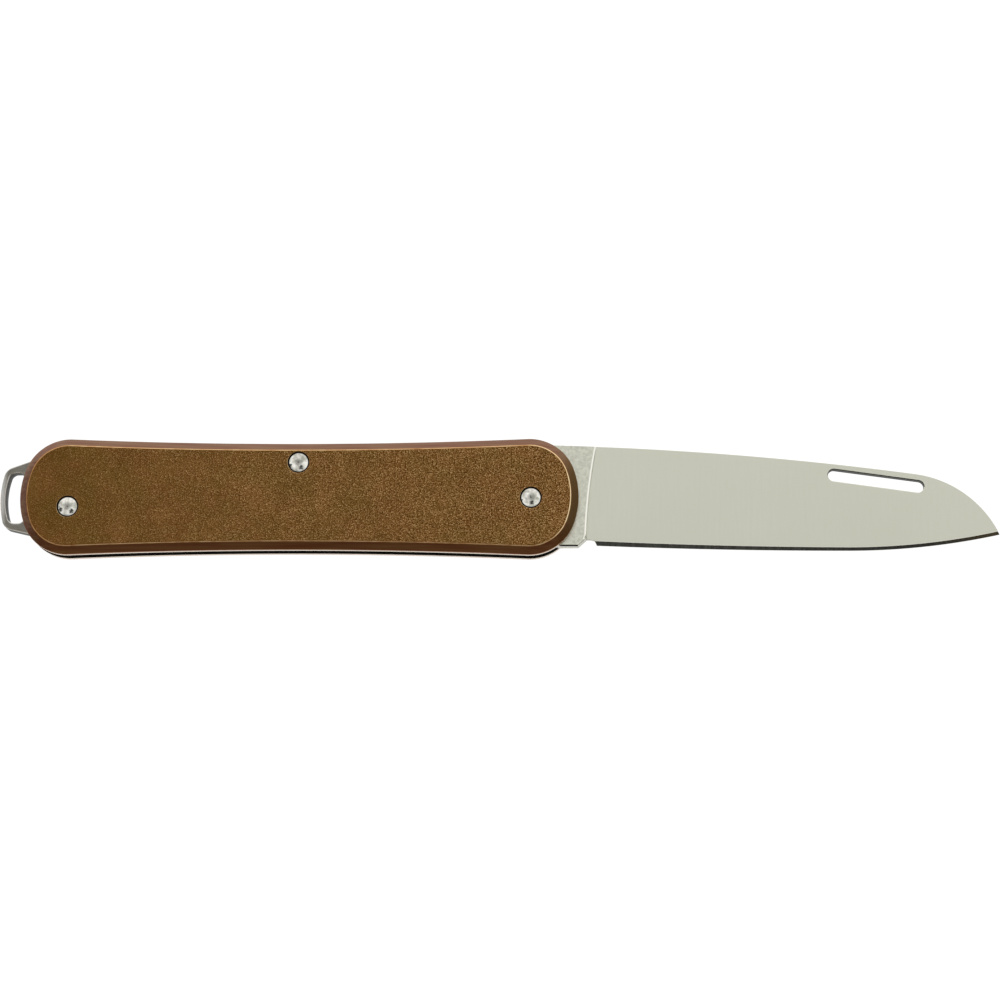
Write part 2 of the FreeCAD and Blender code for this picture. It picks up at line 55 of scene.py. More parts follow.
MM = 0.001
HANDLE_X = -30.61
HANDLE_LENGTH, HANDLE_HEIGHT = 86.7, 18.63
WAIST_INSET, END_BOW, CORNER_RADIUS = 0.93, 4.03, 7.3
STACK = 5.6
SCALE_THICKNESS = 1.2
BEVEL_WIDTH, BEVEL_DEPTH = 1.2, 0.85
RUBBED_RADIUS, RIM_RADIUS, BACK_BREAK = 0.42, 0.12, 0.05
COUNTERBORE_RADIUS, COUNTERBORE_DEPTH, COUNTERBORE_BREAK = 1.7, 0.6, 0.045
FACE_MARGIN = 0.1
RIVET_HOLE_RADIUS = 1.07
PIVOT = (5.41, -0.31)
MIDDLE_RIVET = (-30.61, 5.28)
BUTT_RIVET = (-66.35, -1.71)
RIVETS = (PIVOT, MIDDLE_RIVET, BUTT_RIVET)
OUTLINE_SPACING = 0.6
HOLE_SIDES = 64
ROUND_STEPS = 4
SLIGHT_BEND = 0.05
CROSSING, SAME_PLACE, NO_WIDTH = 1e-7, 1e-5, 1e-6


def around(centre, radius, angles):
    return np.column_stack((centre[0] + radius * np.cos(angles), centre[1] + radius * np.sin(angles)))


def arc(centre, radius, start, end, spacing):
    """Points along an arc between two angles, without the last."""
    count = max(2, math.ceil(abs(end - start) * radius / spacing))
    return around(centre, radius, np.linspace(start, end, count, endpoint=False))


def direction(start, end):
    return math.atan2(end[1] - start[1], end[0] - start[0])


# The outline is waisted: hollow sides, round ends, and corners that run smoothly into both
half_length, half_height = HANDLE_LENGTH / 2, HANDLE_HEIGHT / 2
back_radius = ((half_length - END_BOW) ** 2 + WAIST_INSET ** 2) / (2 * WAIST_INSET)
end_radius = (half_height ** 2 + END_BOW ** 2) / (2 * END_BOW)
back_centre = Vector((0, half_height - WAIST_INSET + back_radius))
end_centre = Vector((half_length - end_radius, 0))
across = end_centre - back_centre
from_back, from_end = back_radius + CORNER_RADIUS, end_radius - CORNER_RADIUS
along = (from_back ** 2 - from_end ** 2 + across.length_squared) / (2 * across.length)
aside = math.sqrt(from_back ** 2 - along ** 2)
across.normalize()
corner_centre = back_centre + across * along + Vector((-across.y, across.x)) * aside
end_turn, back_turn = direction(end_centre, corner_centre), direction(corner_centre, back_centre)
quarter = np.vstack((
    arc(end_centre, end_radius, 0, end_turn, OUTLINE_SPACING),
    arc(corner_centre, CORNER_RADIUS, end_turn, back_turn, OUTLINE_SPACING / 3),
    arc(back_centre, back_radius, direction(back_centre, corner_centre), -math.pi / 2, OUTLINE_SPACING),
    [(0, half_height - WAIST_INSET)],
))
handle_half = np.vstack((quarter[:-1], (quarter * (-1, 1))[:0:-1]))
handle_outline = np.vstack((handle_half, -handle_half)) + (HANDLE_X, 0)


def circle(centre, radius):
    """A hole's outline, clockwise."""
    return around(centre, radius, -np.arange(HOLE_SIDES) * 2 * math.pi / HOLE_SIDES)


def inset(loop, depth):
    """The outline moved into the metal by a depth, or by one for each of its runs from point to point."""
    run = np.roll(loop, -1, axis=0) - loop
    run /= np.linalg.norm(run, axis=1)[:, None]
    after = np.column_stack((run[:, 1], -run[:, 0]))
    before = np.roll(after, 1, axis=0)
    depth_after = np.broadcast_to(depth, len(loop)).astype(float)
    depth_before = np.roll(depth_after, 1)
    turn = (after * before).sum(axis=1)
    bend = np.maximum(1 - turn ** 2, SLIGHT_BEND)
    smooth = (depth_after + depth_before) / 2 / (1 + turn)
    is_corner = 1 - turn ** 2 > SLIGHT_BEND
    along_after = np.where(is_corner, (depth_after - turn * depth_before) / bend, smooth)
    along_before = np.where(is_corner, (depth_before - turn * depth_after) / bend, smooth)
    return loop - after * along_after[:, None] - before * along_before[:, None]


def swung(centre, start, end, share):
    """A place on the short arc from one place to another."""
    return centre + (start - centre).slerp(end - centre, share) * (start - centre).length


def turned(before, corner, after, radius, steps):
    """How far from a corner its round begins, and the points on that round."""
    back, on = (before - corner).normalized(), (after - corner).normalized()
    half = back.angle(on) / 2
    reach = radius / math.tan(half)
    centre = corner + (back + on).normalized() * radius / math.sin(half)
    start, end = corner + back * reach, corner + on * reach
    return reach, [swung(centre, start, end, step / steps) for step in range(steps + 1)]


def rounded(corners):
    """An open line of (x, y, radius) with rounded corners: points, and where in which corner each lies."""
    points, places = [], []
    for index, (x, y, radius) in enumerate(corners):
        if radius:
            before, after = (Vector(corners[other][:2]) for other in (index - 1, index + 1))
            points += turned(before, Vector((x, y)), after, radius, ROUND_STEPS)[1]
            places += [(index, step / ROUND_STEPS) for step in range(ROUND_STEPS + 1)]
        else:
            points.append(Vector((x, y)))
            places.append((index, None))
    return points, places


def ring(bm, loop, height):
    heights = np.broadcast_to(height, len(loop))
    return [bm.verts.new((x, y, z)) for (x, y), z in zip(loop.tolist(), heights.tolist())]


def skin(bm, upper, lower, material=0):
    """A band of faces between two rings, the upper one towards the front."""
    count = len(upper)
    for index in range(count):
        after = (index + 1) % count
        face = bm.faces.new((upper[index], lower[index], lower[after], upper[after]))
        face.material_index = material


def fill(bm, rings, front, creases=()):
    """Triangles inside the first ring and outside the others, with edges along the creases."""
    verts = [vert for loop in rings for vert in loop]
    place = {vert: index for index, vert in enumerate(verts)}
    border = [(place[a], place[b]) for loop in rings for a, b in zip(loop, loop[1:] + loop[:1])]
    edges = list(border)
    for chain in creases:
        for vert in chain:
            if vert not in place:
                place[vert] = len(verts)
                verts.append(vert)
        edges += [(place[a], place[b]) for a, b in zip(chain, chain[1:])]
    flat = np.array([vert.co.xy for vert in verts])
    spots = [Vector(point) for point in flat]
    made, _, triangles, origins, _, _ = delaunay_2d_cdt(spots, edges, [], 0, CROSSING)
    if len(made) != len(verts):
        raise RuntimeError(f"the outline crosses itself: {len(verts)} points became {len(made)}")
    corners = np.array([[origins[index][0] for index in triangle] for triangle in triangles])
    middles = flat[corners].mean(axis=1)
    starts, ends = (flat[[edge[side] for edge in border]] for side in (0, 1))
    spans = (starts[:, 1] > middles[:, 1, None]) != (ends[:, 1] > middles[:, 1, None])
    rise = np.where(ends[:, 1] == starts[:, 1], 1, ends[:, 1] - starts[:, 1])
    share = (middles[:, 1, None] - starts[:, 1]) / rise
    crossed = spans & (starts[:, 0] + share * (ends[:, 0] - starts[:, 0]) > middles[:, 0, None])
    for triangle in corners[crossed.sum(axis=1) % 2 == 1]:
        a, b, c = (verts[index] for index in triangle)
        turn = (b.co.xy - a.co.xy).cross(c.co.xy - a.co.xy)
        bm.faces.new((a, b, c) if (turn > 0) == front else (a, c, b))


scene = bpy.context.scene


def placed(name, data):
    made = bpy.data.objects.new(name, data)
    scene.collection.objects.link(made)
    return made


def piece(bm, name, materials, sharp=30):
    """A piece from a mesh drawn in millimetres, smooth but for edges sharper than an angle."""
    bmesh.ops.remove_doubles(bm, verts=bm.verts, dist=SAME_PLACE)
    bmesh.ops.dissolve_degenerate(bm, edges=bm.edges, dist=NO_WIDTH)
    mesh = bpy.data.meshes.new(name)
    bm.to_mesh(mesh)
    bm.free()
    mesh.transform(Matrix.Scale(MM, 4))
    mesh.shade_smooth()
    mesh.set_sharp_from_angle(angle=math.radians(sharp))
    for material in materials:
        mesh.materials.append(material)
    return placed(name, mesh)


def linear(code):
    """An sRGB hex colour as the linear one that shaders take."""
    shares = [int(code[index:index + 2], 16) / 255 for index in (1, 3, 5)]
    return [s / 12.92 if s <= 0.04045 else ((s + 0.055) / 1.055) ** 2.4 for s in shares] + [1.0]


def add(tree, kind, links=(), **settings):
    """One node with its settings, its sockets set to values or linked to outputs or nodes' main outputs."""
    made = tree.nodes.new(kind if "Node" in kind else f"ShaderNode{kind}")
    for name, setting in settings.items():
        setattr(made, name, setting)
    for socket, source in dict(links).items():
        if isinstance(source, bpy.types.Node):
            source = next(output for output in source.outputs if output.enabled)
        if isinstance(source, bpy.types.NodeSocket):
            tree.links.new(source, made.inputs[socket])
        else:
            made.inputs[socket].default_value = source
    return made


def emptied(block):
    """The tree of a new material or world, with nothing in it."""
    block.use_nodes = True
    block.node_tree.nodes.clear()
    return block.node_tree


def new_metal(name):
    """A material, its tree, and where on its piece a point lies."""
    material = bpy.data.materials.new(name)
    tree = emptied(material)
    return material, tree, add(tree, "TexCoord").outputs["Object"]


def per_metre(size_mm):
    """The scale at which a pattern repeats every so many millimetres."""
    return 1 / (size_mm * MM)


def metal(tree, base, layers, roughness, relief=(), coat=()):
    """A metal's surface: colours laid over a base by their shares, with roughness and relief from patterns.

    A roughness with one level is the same all over. Relief has a strength and a depth in millimetres.
    """
    colour = linear(base)
    for share, code in layers:
        colour = add(tree, "Mix", {0: share, 6: colour, 7: linear(code)}, data_type="RGBA")
    pattern, *levels = roughness
    polish = levels[0]
    if len(levels) > 1:
        polish = add(tree, "MapRange", {"Value": pattern, "To Min": levels[0], "To Max": levels[1]})
    sockets = {"Base Color": colour, "Metallic": 1.0, "Roughness": polish, **dict(coat)}
    if relief:
        pattern, strength, depth = relief
        sockets["Normal"] = add(tree, "Bump", {
            "Height": pattern, "Strength": strength, "Distance": depth * MM})
    shader = add(tree, "BsdfPrincipled", sockets)
    add(tree, "OutputMaterial", {"Surface": shader})


# Anodised aluminium, blasted: a dull brown, clouded at half a centimetre, drifting between olive and red,
# deeper and calmer at the butt end. The grit leaves crests with a painted gold glint and pits with painted
# shade, a tenth of a millimetre apart and drawn at twice that so that they show.
BUTT_END, PIVOT_END, FADE_POWER = -74.0, 12.7, 0.5
BROWN_FADE, SPECK_FADE, LEAST_SPECKS, PIT_WEIGHT = 0.68, 0.82, 0.16, 0.36
blasted, tree, spot = new_metal("aluminium_blasted_bronze_anodised")
cloud = add(tree, "TexNoise", {"Vector": spot, "Scale": per_metre(5), "Detail": 2.0})
cloud_share = add(tree, "MapRange", {
    "Value": cloud, "From Min": 0.3, "From Max": 0.7, "To Min": -0.15, "To Max": 0.38})
dye = add(tree, "TexNoise", {"Vector": spot, "Scale": per_metre(4), "Detail": 1.0})
dye_share = add(tree, "MapRange", {"Value": dye, "From Min": 0.35, "From Max": 0.65, "To Max": 0.34})
place = add(tree, "SeparateXYZ", {"Vector": spot})
# The face grows lighter and more speckled from the butt end towards the pivot end
from_butt = add(tree, "MapRange", {
    "Value": place.outputs["X"], "From Min": BUTT_END * MM, "From Max": PIVOT_END * MM})
butt_to_pivot_share = add(tree, "Math", {0: from_butt, 1: FADE_POWER}, operation="POWER")
brown_share = add(tree, "Math", {0: butt_to_pivot_share, 1: BROWN_FADE, 2: cloud_share}, operation="MULTIPLY_ADD")
grit = add(tree, "TexNoise", {"Vector": spot, "Scale": per_metre(0.5), "Detail": 2.0, "Roughness": 0.6})
pits = add(tree, "TexVoronoi", {"Vector": spot, "Scale": per_metre(0.13)})
pit_draw = add(tree, "SeparateColor", {"Color": pits.outputs["Color"]})
crests = add(tree, "TexVoronoi", {"Vector": spot, "Scale": per_metre(0.2)}, voronoi_dimensions="2D")
crest_draw = add(tree, "SeparateColor", {"Color": crests.outputs["Color"]})
fall = add(tree, "Math", {0: pit_draw, 1: PIT_WEIGHT, 2: crests}, operation="MULTIPLY_ADD")
speck_share = add(tree, "Math", {0: butt_to_pivot_share, 1: SPECK_FADE, 2: LEAST_SPECKS}, operation="MULTIPLY_ADD")
crest_share = add(tree, "Math", {0: speck_share, 1: crest_draw}, operation="MULTIPLY")
# Painted glints on the crests, and painted shade in the pits
painted_glint = add(tree, "MapRange", {
    "Value": fall, "From Min": 0.55, "From Max": 0.27, "To Max": crest_share})
painted_pit_shade = add(tree, "MapRange", {
    "Value": fall, "From Min": 0.59, "From Max": 0.95, "To Max": speck_share})
metal(tree, "#69451B", [
    (brown_share, "#8B6134"), (dye_share, "#695821"), (painted_pit_shade, "#4C300F"), (painted_glint, "#E8C188"),
], (grit, 0.4, 0.62), relief=(grit, 0.25, 0.03))

# The same plate after milling: the anodised skin is smooth and glassy here, leans to red, or to olive at the
# pivot end, and is streaked along the handle, half a millimetre apart. Where the corner is rubbed, it thins
# to copper brown and then lets pale metal through. The same colours also paint a highlight along that corner,
# strongest at the pivot end.
OLIVE_START, OLIVE_END = 8.5, 12.0
milled, tree, spot = new_metal("aluminium_milled_bronze_anodised")
# Painted highlight: the rubbed corner's copper and pale colours are partly wear and partly painted light
rubbed_and_glint = add(tree, "Attribute", attribute_name="rubbed_and_glint").outputs["Fac"]
wear_and_glint = add(tree, "TexNoise", {"Vector": spot, "Scale": per_metre(1.6), "Detail": 3.0})
wear_and_glint_share = add(tree, "MapRange", {
    "Value": wear_and_glint, "From Min": 0.25, "From Max": 0.6, "To Min": 0.55, "To Max": 1.0})
bare_and_glint = add(tree, "Math", {0: rubbed_and_glint, 1: wear_and_glint_share}, operation="MULTIPLY")
drawn_out = add(tree, "Mapping", {"Vector": spot, "Scale": (0.06, 1.0, 1.0)})
tint = add(tree, "TexNoise", {"Vector": drawn_out, "Scale": per_metre(0.6), "Detail": 2.0})
tint_share = add(tree, "MapRange", {"Value": tint, "From Min": 0.3, "From Max": 0.7})
place = add(tree, "SeparateXYZ", {"Vector": spot})
olive_share = add(tree, "MapRange", {
    "Value": place.outputs["X"], "From Min": OLIVE_START * MM, "From Max": OLIVE_END * MM})
copper_edge_share = add(tree, "MapRange", {"Value": bare_and_glint, "From Max": 0.5})
pale_edge_share = add(tree, "MapRange", {"Value": bare_and_glint, "From Min": 0.4, "From Max": 0.95})
glaze = add(tree, "MapRange", {"Value": bare_and_glint, "To Min": 0.8, "To Max": 0.0})
metal(tree, "#76432C", [
    (tint_share, "#8A6647"), (olive_share, "#6F4F1A"), (copper_edge_share, "#C98F50"), (pale_edge_share, "#FFE8B8"),
], (wear_and_glint, 0.3, 0.42), coat={"Coat Weight": glaze, "Coat Roughness": 0.25})


def lined_metal(name, stretch, spacing, dark, pale, roughness, relief=(), detail=3.0):
    """A metal with lines: a noise drawn out along some axes, seen in its colour, polish and relief."""
    material, tree, spot = new_metal(name)
    drawn_out = add(tree, "Mapping", {"Vector": spot, "Scale": stretch})
    lines = add(tree, "TexNoise", {"Vector": drawn_out, "Scale": per_metre(spacing), "Detail": detail})
    metal(tree, dark, [(lines, pale)], (lines, *roughness), (lines, *relief) if relief else ())
    return material


# The same plate inside its bores, with drilled rings a fifth of a millimetre apart, painted a dull near-black
# brown as painted shade in the recess.
bore_shade = lined_metal("aluminium_bore_painted_shade", (0.1, 0.1, 1.0), 0.2, "#0E0905", "#20160C", (0.45, 0.65),
                    detail=2.0)

RUBBED_GLINT_CORNER, LIP_CORNER, BACK_CORNER = 1, 2, 3
BLASTED, MILLED, BORE_SHADE = 0, 1, 2
BUTT_WEAR_AND_GLINT, SIDE_WEAR_AND_GLINT, PIVOT_WEAR_AND_GLINT, WALL_WEAR_AND_GLINT = 0.5, 0.75, 1.2, 0.3
scale_mesh = bmesh.new()
rubbed_and_glint_layer = scale_mesh.verts.layers.float.new("rubbed_and_glint")
rim_profile, rim_places = rounded([
    (BEVEL_WIDTH + FACE_MARGIN, 0, 0),
    (BEVEL_WIDTH, 0, RUBBED_RADIUS),
    (0, BEVEL_DEPTH, RIM_RADIUS),
    (0, SCALE_THICKNESS, BACK_BREAK),
    (FACE_MARGIN, SCALE_THICKNESS, 0),
])
hole_step = RIVET_HOLE_RADIUS - COUNTERBORE_RADIUS
hole_profile, hole_places = rounded([
    (FACE_MARGIN, 0, 0),
    (0, 0, COUNTERBORE_BREAK),
    (0, COUNTERBORE_DEPTH, BACK_BREAK),
    (hole_step, COUNTERBORE_DEPTH, BACK_BREAK),
    (hole_step, SCALE_THICKNESS, BACK_BREAK),
    (hole_step + FACE_MARGIN, SCALE_THICKNESS, 0),
])
contours = [(handle_outline, rim_profile, rim_places, MILLED)]
# The counterbores' walls and seats take the painted shade
contours += [(circle(centre, COUNTERBORE_RADIUS), hole_profile, hole_places, BORE_SHADE) for centre in RIVETS]
face_rings, back_rings = [], []
for loop, profile, places, wall_finish in contours:
    rings = [ring(scale_mesh, inset(loop, depth), STACK - drop) for depth, drop in profile]
    # The corner is painted brightest at the pivot end, partly wear and partly a painted highlight. The wall
    # under the lip is painted a little lighter as well.
    outward = loop - inset(loop, 1.0)
    wear_and_glint = np.interp(outward[:, 0], (-1, 0, 1), (BUTT_WEAR_AND_GLINT, SIDE_WEAR_AND_GLINT, PIVOT_WEAR_AND_GLINT))
    for vert_ring, (corner, share) in zip(rings, places):
        for vert, corner_wear_and_glint in zip(vert_ring, wear_and_glint):
            if corner == RUBBED_GLINT_CORNER and share:
                vert[rubbed_and_glint_layer] = corner_wear_and_glint * math.sin(math.pi * share)
            elif wall_finish == MILLED and (corner, share) >= (LIP_CORNER, 0.5) and corner <= BACK_CORNER:
                vert[rubbed_and_glint_layer] = WALL_WEAR_AND_GLINT
    for index, (upper, lower) in enumerate(zip(rings, rings[1:])):
        finish = wall_finish if places[index][0] > RUBBED_GLINT_CORNER else MILLED
        skin(scale_mesh, upper, lower, finish if index else BLASTED)
    face_rings.append(rings[0])
    back_rings.append(rings[-1])
fill(scale_mesh, face_rings, True)
fill(scale_mesh, back_rings, False)
front_scale = piece(scale_mesh, "front_scale_dressed", [blasted, milled, bore_shade])
rear_scale = placed("rear_scale_dressed", front_scale.data.copy())
to_rear = Matrix.Translation((0, 0, STACK * MM)) @ Matrix.Diagonal((1, 1, -1, 1))
rear_scale.data.transform(to_rear)
rear_scale.data.flip_normals()
for scale, node in ((front_scale, "front_scale"), (rear_scale, "rear_scale")):
    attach(scale, "handle")
    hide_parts(node)


# Liners: two blanks of thin stainless sheet under the scales, cut to the same outline.
# They wall the slot that the blade folds into. Their faces are painted a dull dark grey as shade in that
# slot, and their edges are ground bright with the handle's.

LINER_THICKNESS, LINER_BREAK = 0.45, 0.03
EDGE_STEPS, EDGE_BAND = 4, 1.3

# Stainless sheet, hardened, its faces painted a dull dark grey as painted shade in the blade's slot, with
# rolling lines along the handle, a quarter of a millimetre apart.
liner_faces_painted_shade = lined_metal("stainless_sheet_painted_shade", (0.06, 1.0, 1.0), 0.25, "#2E2C29", "#4A4742",
                         (0.35, 0.5))

# The same sheet on its ground edge: a bright warm line, with grinding marks along it half a millimetre long.
liner_edge = lined_metal("stainless_sheet_ground_edge", (0.4, 0.4, 1.0), 0.2, "#DCCBB4", "#F7ECDC",
                         (0.2, 0.36))


def slab(name, contours, low, high, faces, edges):
    """A flat piece between two heights. Each contour is an outline and how far its edges are rounded."""
    bm = bmesh.new()
    edge_wear_and_highlight = bm.verts.layers.float.new("edge_wear_and_highlight")
    high_rings, low_rings = [], []
    turns = np.linspace(0, math.pi / 2, EDGE_STEPS + 1)
    rows = [(EDGE_BAND, 0, 0)]
    # The last number of a row is how bright the edge is painted there, partly wear and partly a painted
    # highlight
    rows += [(1 - math.sin(turn), 1 - math.cos(turn), math.sin(2 * turn)) for turn in turns]
    for loop, edge in contours:
        edge = np.broadcast_to(edge, len(loop))
        rings = [ring(bm, inset(loop, edge * depth), high - edge * drop) for depth, drop, _ in rows]
        rings += [ring(bm, inset(loop, edge * depth), low + edge * drop) for depth, drop, _ in rows[::-1]]
        for vert_ring, (_, _, wear_and_glint) in zip(rings, rows + rows[::-1]):
            for vert in vert_ring:
                vert[edge_wear_and_highlight] = wear_and_glint
        for index, (upper, lower) in enumerate(zip(rings, rings[1:])):
            skin(bm, upper, lower, 1 if index == EDGE_STEPS + 1 else 0)
        high_rings.append(rings[0])
        low_rings.append(rings[-1])
    fill(bm, high_rings, True)
    fill(bm, low_rings, False)
    return piece(bm, name, [faces, edges])


outlines = [handle_outline] + [circle(centre, RIVET_HOLE_RADIUS) for centre in RIVETS]
liner_contours = [(loop, LINER_BREAK) for loop in outlines]
liner_lows = {"rear_liner": SCALE_THICKNESS, "front_liner": STACK - SCALE_THICKNESS - LINER_THICKNESS}
for node, low in liner_lows.items():
    liner = slab(f"{node}_dressed", liner_contours, low, low + LINER_THICKNESS, liner_faces_painted_shade, liner_edge)
    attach(liner, "handle")
    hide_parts(node)


# Blade: stainless steel, blanked, flat ground on both faces from spine to edge, then honed.
# The grind runs out in a plunge line short of the tang, which keeps its full thickness and turns on the bush.
# A slot near the spine takes the thumbnail.

BLADE_HALF = 1.0
MIDDLE_Z = STACK / 2
BLADE_LENGTH, TIP_DROP = 71.85, 5.28
CLIP_LENGTH, CLIP_RISE, CLIP_BOW = 12.7, 4.12, 2.02
SPINE_RISE, SPINE_BOW = 8.7, 0.81
BELLY_LENGTH, BELLY_DROP, BELLY_BOW = 22.9, 7.8, 0.62
HEEL_REACH, HEEL_DROP, EDGE_BOW = 10.15, 7.05, 0.2
CHOIL_REACH, CHOIL_DROP, CHOIL_FALL, CHOIL_BOW, HEEL_LEAD = 8.45, 6.2, 0.13, 0.08, 0.35
TANG_FLAT, TANG_LIFT, SHOULDER_REACH = 6.5, 0.6, 1.6
KICK_BACK, KICK_FRONT, CLOSED_ANGLE = 4.42, 7.26, math.radians(171)
PLUNGE_TOP, PLUNGE_LOW, PLUNGE_BOW = 10.08, 8.25, 0.49
PLUNGE_HIGH_Y, PLUNGE_LOW_Y = 9.7, -8.8
PLUNGE_START, PLUNGE_RIM, PLUNGE_WALL, PLUNGE_RIM_DROP, WALL_CURVE = -0.1, 0.27, 0.1, 0.045, 1.6
PLUNGE_LINES = ((0.0, 0.0), (0.04, 1.0), (0.18, 1.0), (0.27, 1.0), (0.31, 0.8), (0.37, 0.0))
PLUNGE_POINTS = 24
GRIND_STEP, GROUND_HALF, EDGE_HALF = 0.08, 0.18, 0.02
HONED_TIP, HONED_HEEL, KICK_BREAK, BLADE_BREAK, SLOT_BREAK = 0.5, 0.68, 0.22, 0.04, 0.1
FACE_BAND = 0.12
SLOPE_SHINE, HONED_SHINE = 1.0, 0.5
CLIP_CLEAR, BELLY_CLEAR = 0.7, 0.35
SLOT_FROM_TIP, SLOT_RISE, SLOT_LENGTH, SLOT_WIDTH, SLOT_SLOPE = 18.75, 3.06, 14.8, 1.87, math.radians(7.9)
BORE_RADIUS = 2.03
BLADE_SPACING, SLOT_SPACING = 0.5, 0.12


def bowed(start, end, bow, spacing):
    """Points from one place towards another, without the last, on an arc that bows out of the metal."""
    start, end = Vector(start), Vector(end)
    chord = end - start
    count = max(1, math.ceil(chord.length / spacing))
    if not bow:
        return [start + chord * index / count for index in range(count)]
    outward = Vector((chord.y, -chord.x)).normalized()
    radius = chord.length_squared / (8 * abs(bow)) + abs(bow) / 2
    centre = (start + end) / 2 + outward * (bow - math.copysign(radius, bow))
    return [swung(centre, start, end, index / count) for index in range(count)]


tang_radius = TANG_FLAT + TANG_LIFT
tang_run = math.sqrt(tang_radius ** 2 - TANG_FLAT ** 2)
kick_drop = (TANG_FLAT + KICK_BACK * math.sin(CLOSED_ANGLE)) / -math.cos(CLOSED_ANGLE)
closed_flat_end = Matrix.Rotation(CLOSED_ANGLE, 2) @ Vector((tang_run, TANG_FLAT))
open_flat_end = Vector((-tang_run, TANG_FLAT))
stop_top, stop_low = Vector((-TANG_FLAT, tang_run)), Vector((-TANG_FLAT, -tang_run))
tip = Vector((BLADE_LENGTH, -TIP_DROP))


def tang_bow(start, end):
    return tang_radius - math.sqrt(tang_radius ** 2 - (end - start).length_squared / 4)


corners = [
    (closed_flat_end, 0),
    ((KICK_BACK, -kick_drop), 0),
    ((KICK_FRONT, -kick_drop), 0),
    ((CHOIL_REACH, -CHOIL_DROP), -CHOIL_BOW),
    ((HEEL_REACH - HEEL_LEAD, -CHOIL_DROP - CHOIL_FALL), 0),
    ((HEEL_REACH, -HEEL_DROP), EDGE_BOW),
    ((BLADE_LENGTH - BELLY_LENGTH, -BELLY_DROP), BELLY_BOW),
    (tip, CLIP_BOW),
    ((BLADE_LENGTH - CLIP_LENGTH, CLIP_RISE), SPINE_BOW),
    ((SHOULDER_REACH, SPINE_RISE), 0),
    ((SHOULDER_REACH, TANG_FLAT), 0),
    (open_flat_end, tang_bow(open_flat_end, stop_top)),
    (stop_top, 0),
    (stop_low, tang_bow(stop_low, closed_flat_end)),
]
KICK_RUN, SLOPE_RUN, CHOIL_RUN, HEEL_RUN, EDGE_RUN, BELLY_RUN, CLIP_RUN = 1, 2, 3, 4, 5, 6, 7
RUN_SPACING = {CHOIL_RUN: 0.2, HEEL_RUN: 1.0, CLIP_RUN: 0.3}
TIP_CLEAR = {CLIP_RUN: CLIP_CLEAR, BELLY_RUN: BELLY_CLEAR}


def traced(corners, spacing, own_spacing=()):
    """An outline from corners, each with the bow of the run that leaves it: points, and the run of each."""
    points, runs = [], []
    for index, (start, bow) in enumerate(corners):
        end = corners[(index + 1) % len(corners)][0]
        made = bowed(start, end, bow, dict(own_spacing).get(index, spacing))
        points += made
        runs += [index] * len(made)
    return points, runs


outline, runs = [], []
for point, run in zip(*traced(corners, BLADE_SPACING, RUN_SPACING)):
    # Next to the tip, points would crowd into the corner of the honed edge
    if not 0 < (point - tip).length < TIP_CLEAR.get(run, 0):
        outline.append(point)
        runs.append(run)


def plunge_x(y):
    """Where the plunge line crosses a height: a shallow arc that leans to the tip at the spine."""
    share = (y - PLUNGE_LOW_Y) / (PLUNGE_HIGH_Y - PLUNGE_LOW_Y)
    straight = PLUNGE_LOW + (PLUNGE_TOP - PLUNGE_LOW) * share
    return PLUNGE_START + straight - 4 * PLUNGE_BOW * share * (1 - share)


def blade_half(x, y):
    """Half the blade's thickness: full at the tang, a low rim and hollow at the plunge, then flat ground."""
    fall = (BLADE_HALF - GRIND_STEP - GROUND_HALF) / (SPINE_RISE + BELLY_DROP)
    step = GRIND_STEP + (SPINE_RISE - y) * fall
    beyond = x - plunge_x(y)
    rim_share = np.clip(beyond / PLUNGE_RIM, 0, 1)
    wall_share = 1 - (1 - np.clip((beyond - PLUNGE_RIM) / PLUNGE_WALL, 0, 1)) ** WALL_CURVE
    return BLADE_HALF - PLUNGE_RIM_DROP * rim_share - (step - PLUNGE_RIM_DROP) * wall_share


# The plunge lines end on the outline, so it gets a point wherever one of them crosses it
crossings = [None] * len(outline)
for number, (offset, _) in enumerate(PLUNGE_LINES):
    index = 0
    while index < len(outline):
        here, there = outline[index], outline[(index + 1) % len(outline)]
        before, beyond = (point.x - plunge_x(point.y) - offset for point in (here, there))
        index += 1
        if before * beyond < 0:
            outline.insert(index, here.lerp(there, before / (before - beyond)))
            runs.insert(index, runs[index - 1])
            crossings.insert(index, number)
            index += 1
outline = np.array(outline)
runs = np.array(runs)
honed = (runs == EDGE_RUN) | (runs == BELLY_RUN)
on_honed = honed | np.roll(honed, 1)
kicked = (runs == KICK_RUN) | (runs == SLOPE_RUN)
honed_width = np.interp(outline[:, 0], (HEEL_REACH, BLADE_LENGTH - BELLY_LENGTH), (HONED_HEEL, HONED_TIP))
edge_width = np.where(honed, honed_width, np.where(kicked, KICK_BREAK, BLADE_BREAK))
edge_fall = np.minimum(edge_width, np.roll(edge_width, 1))
slot_run = SLOT_LENGTH / 2 - SLOT_WIDTH / 2
slot = np.vstack((
    arc((slot_run, 0), SLOT_WIDTH / 2, math.pi / 2, -math.pi / 2, SLOT_SPACING),
    arc((-slot_run, 0), SLOT_WIDTH / 2, -math.pi / 2, -3 * math.pi / 2, SLOT_SPACING),
))
slot = slot @ np.array(Matrix.Rotation(-SLOT_SLOPE, 2)).T + (BLADE_LENGTH - SLOT_FROM_TIP, SLOT_RISE)

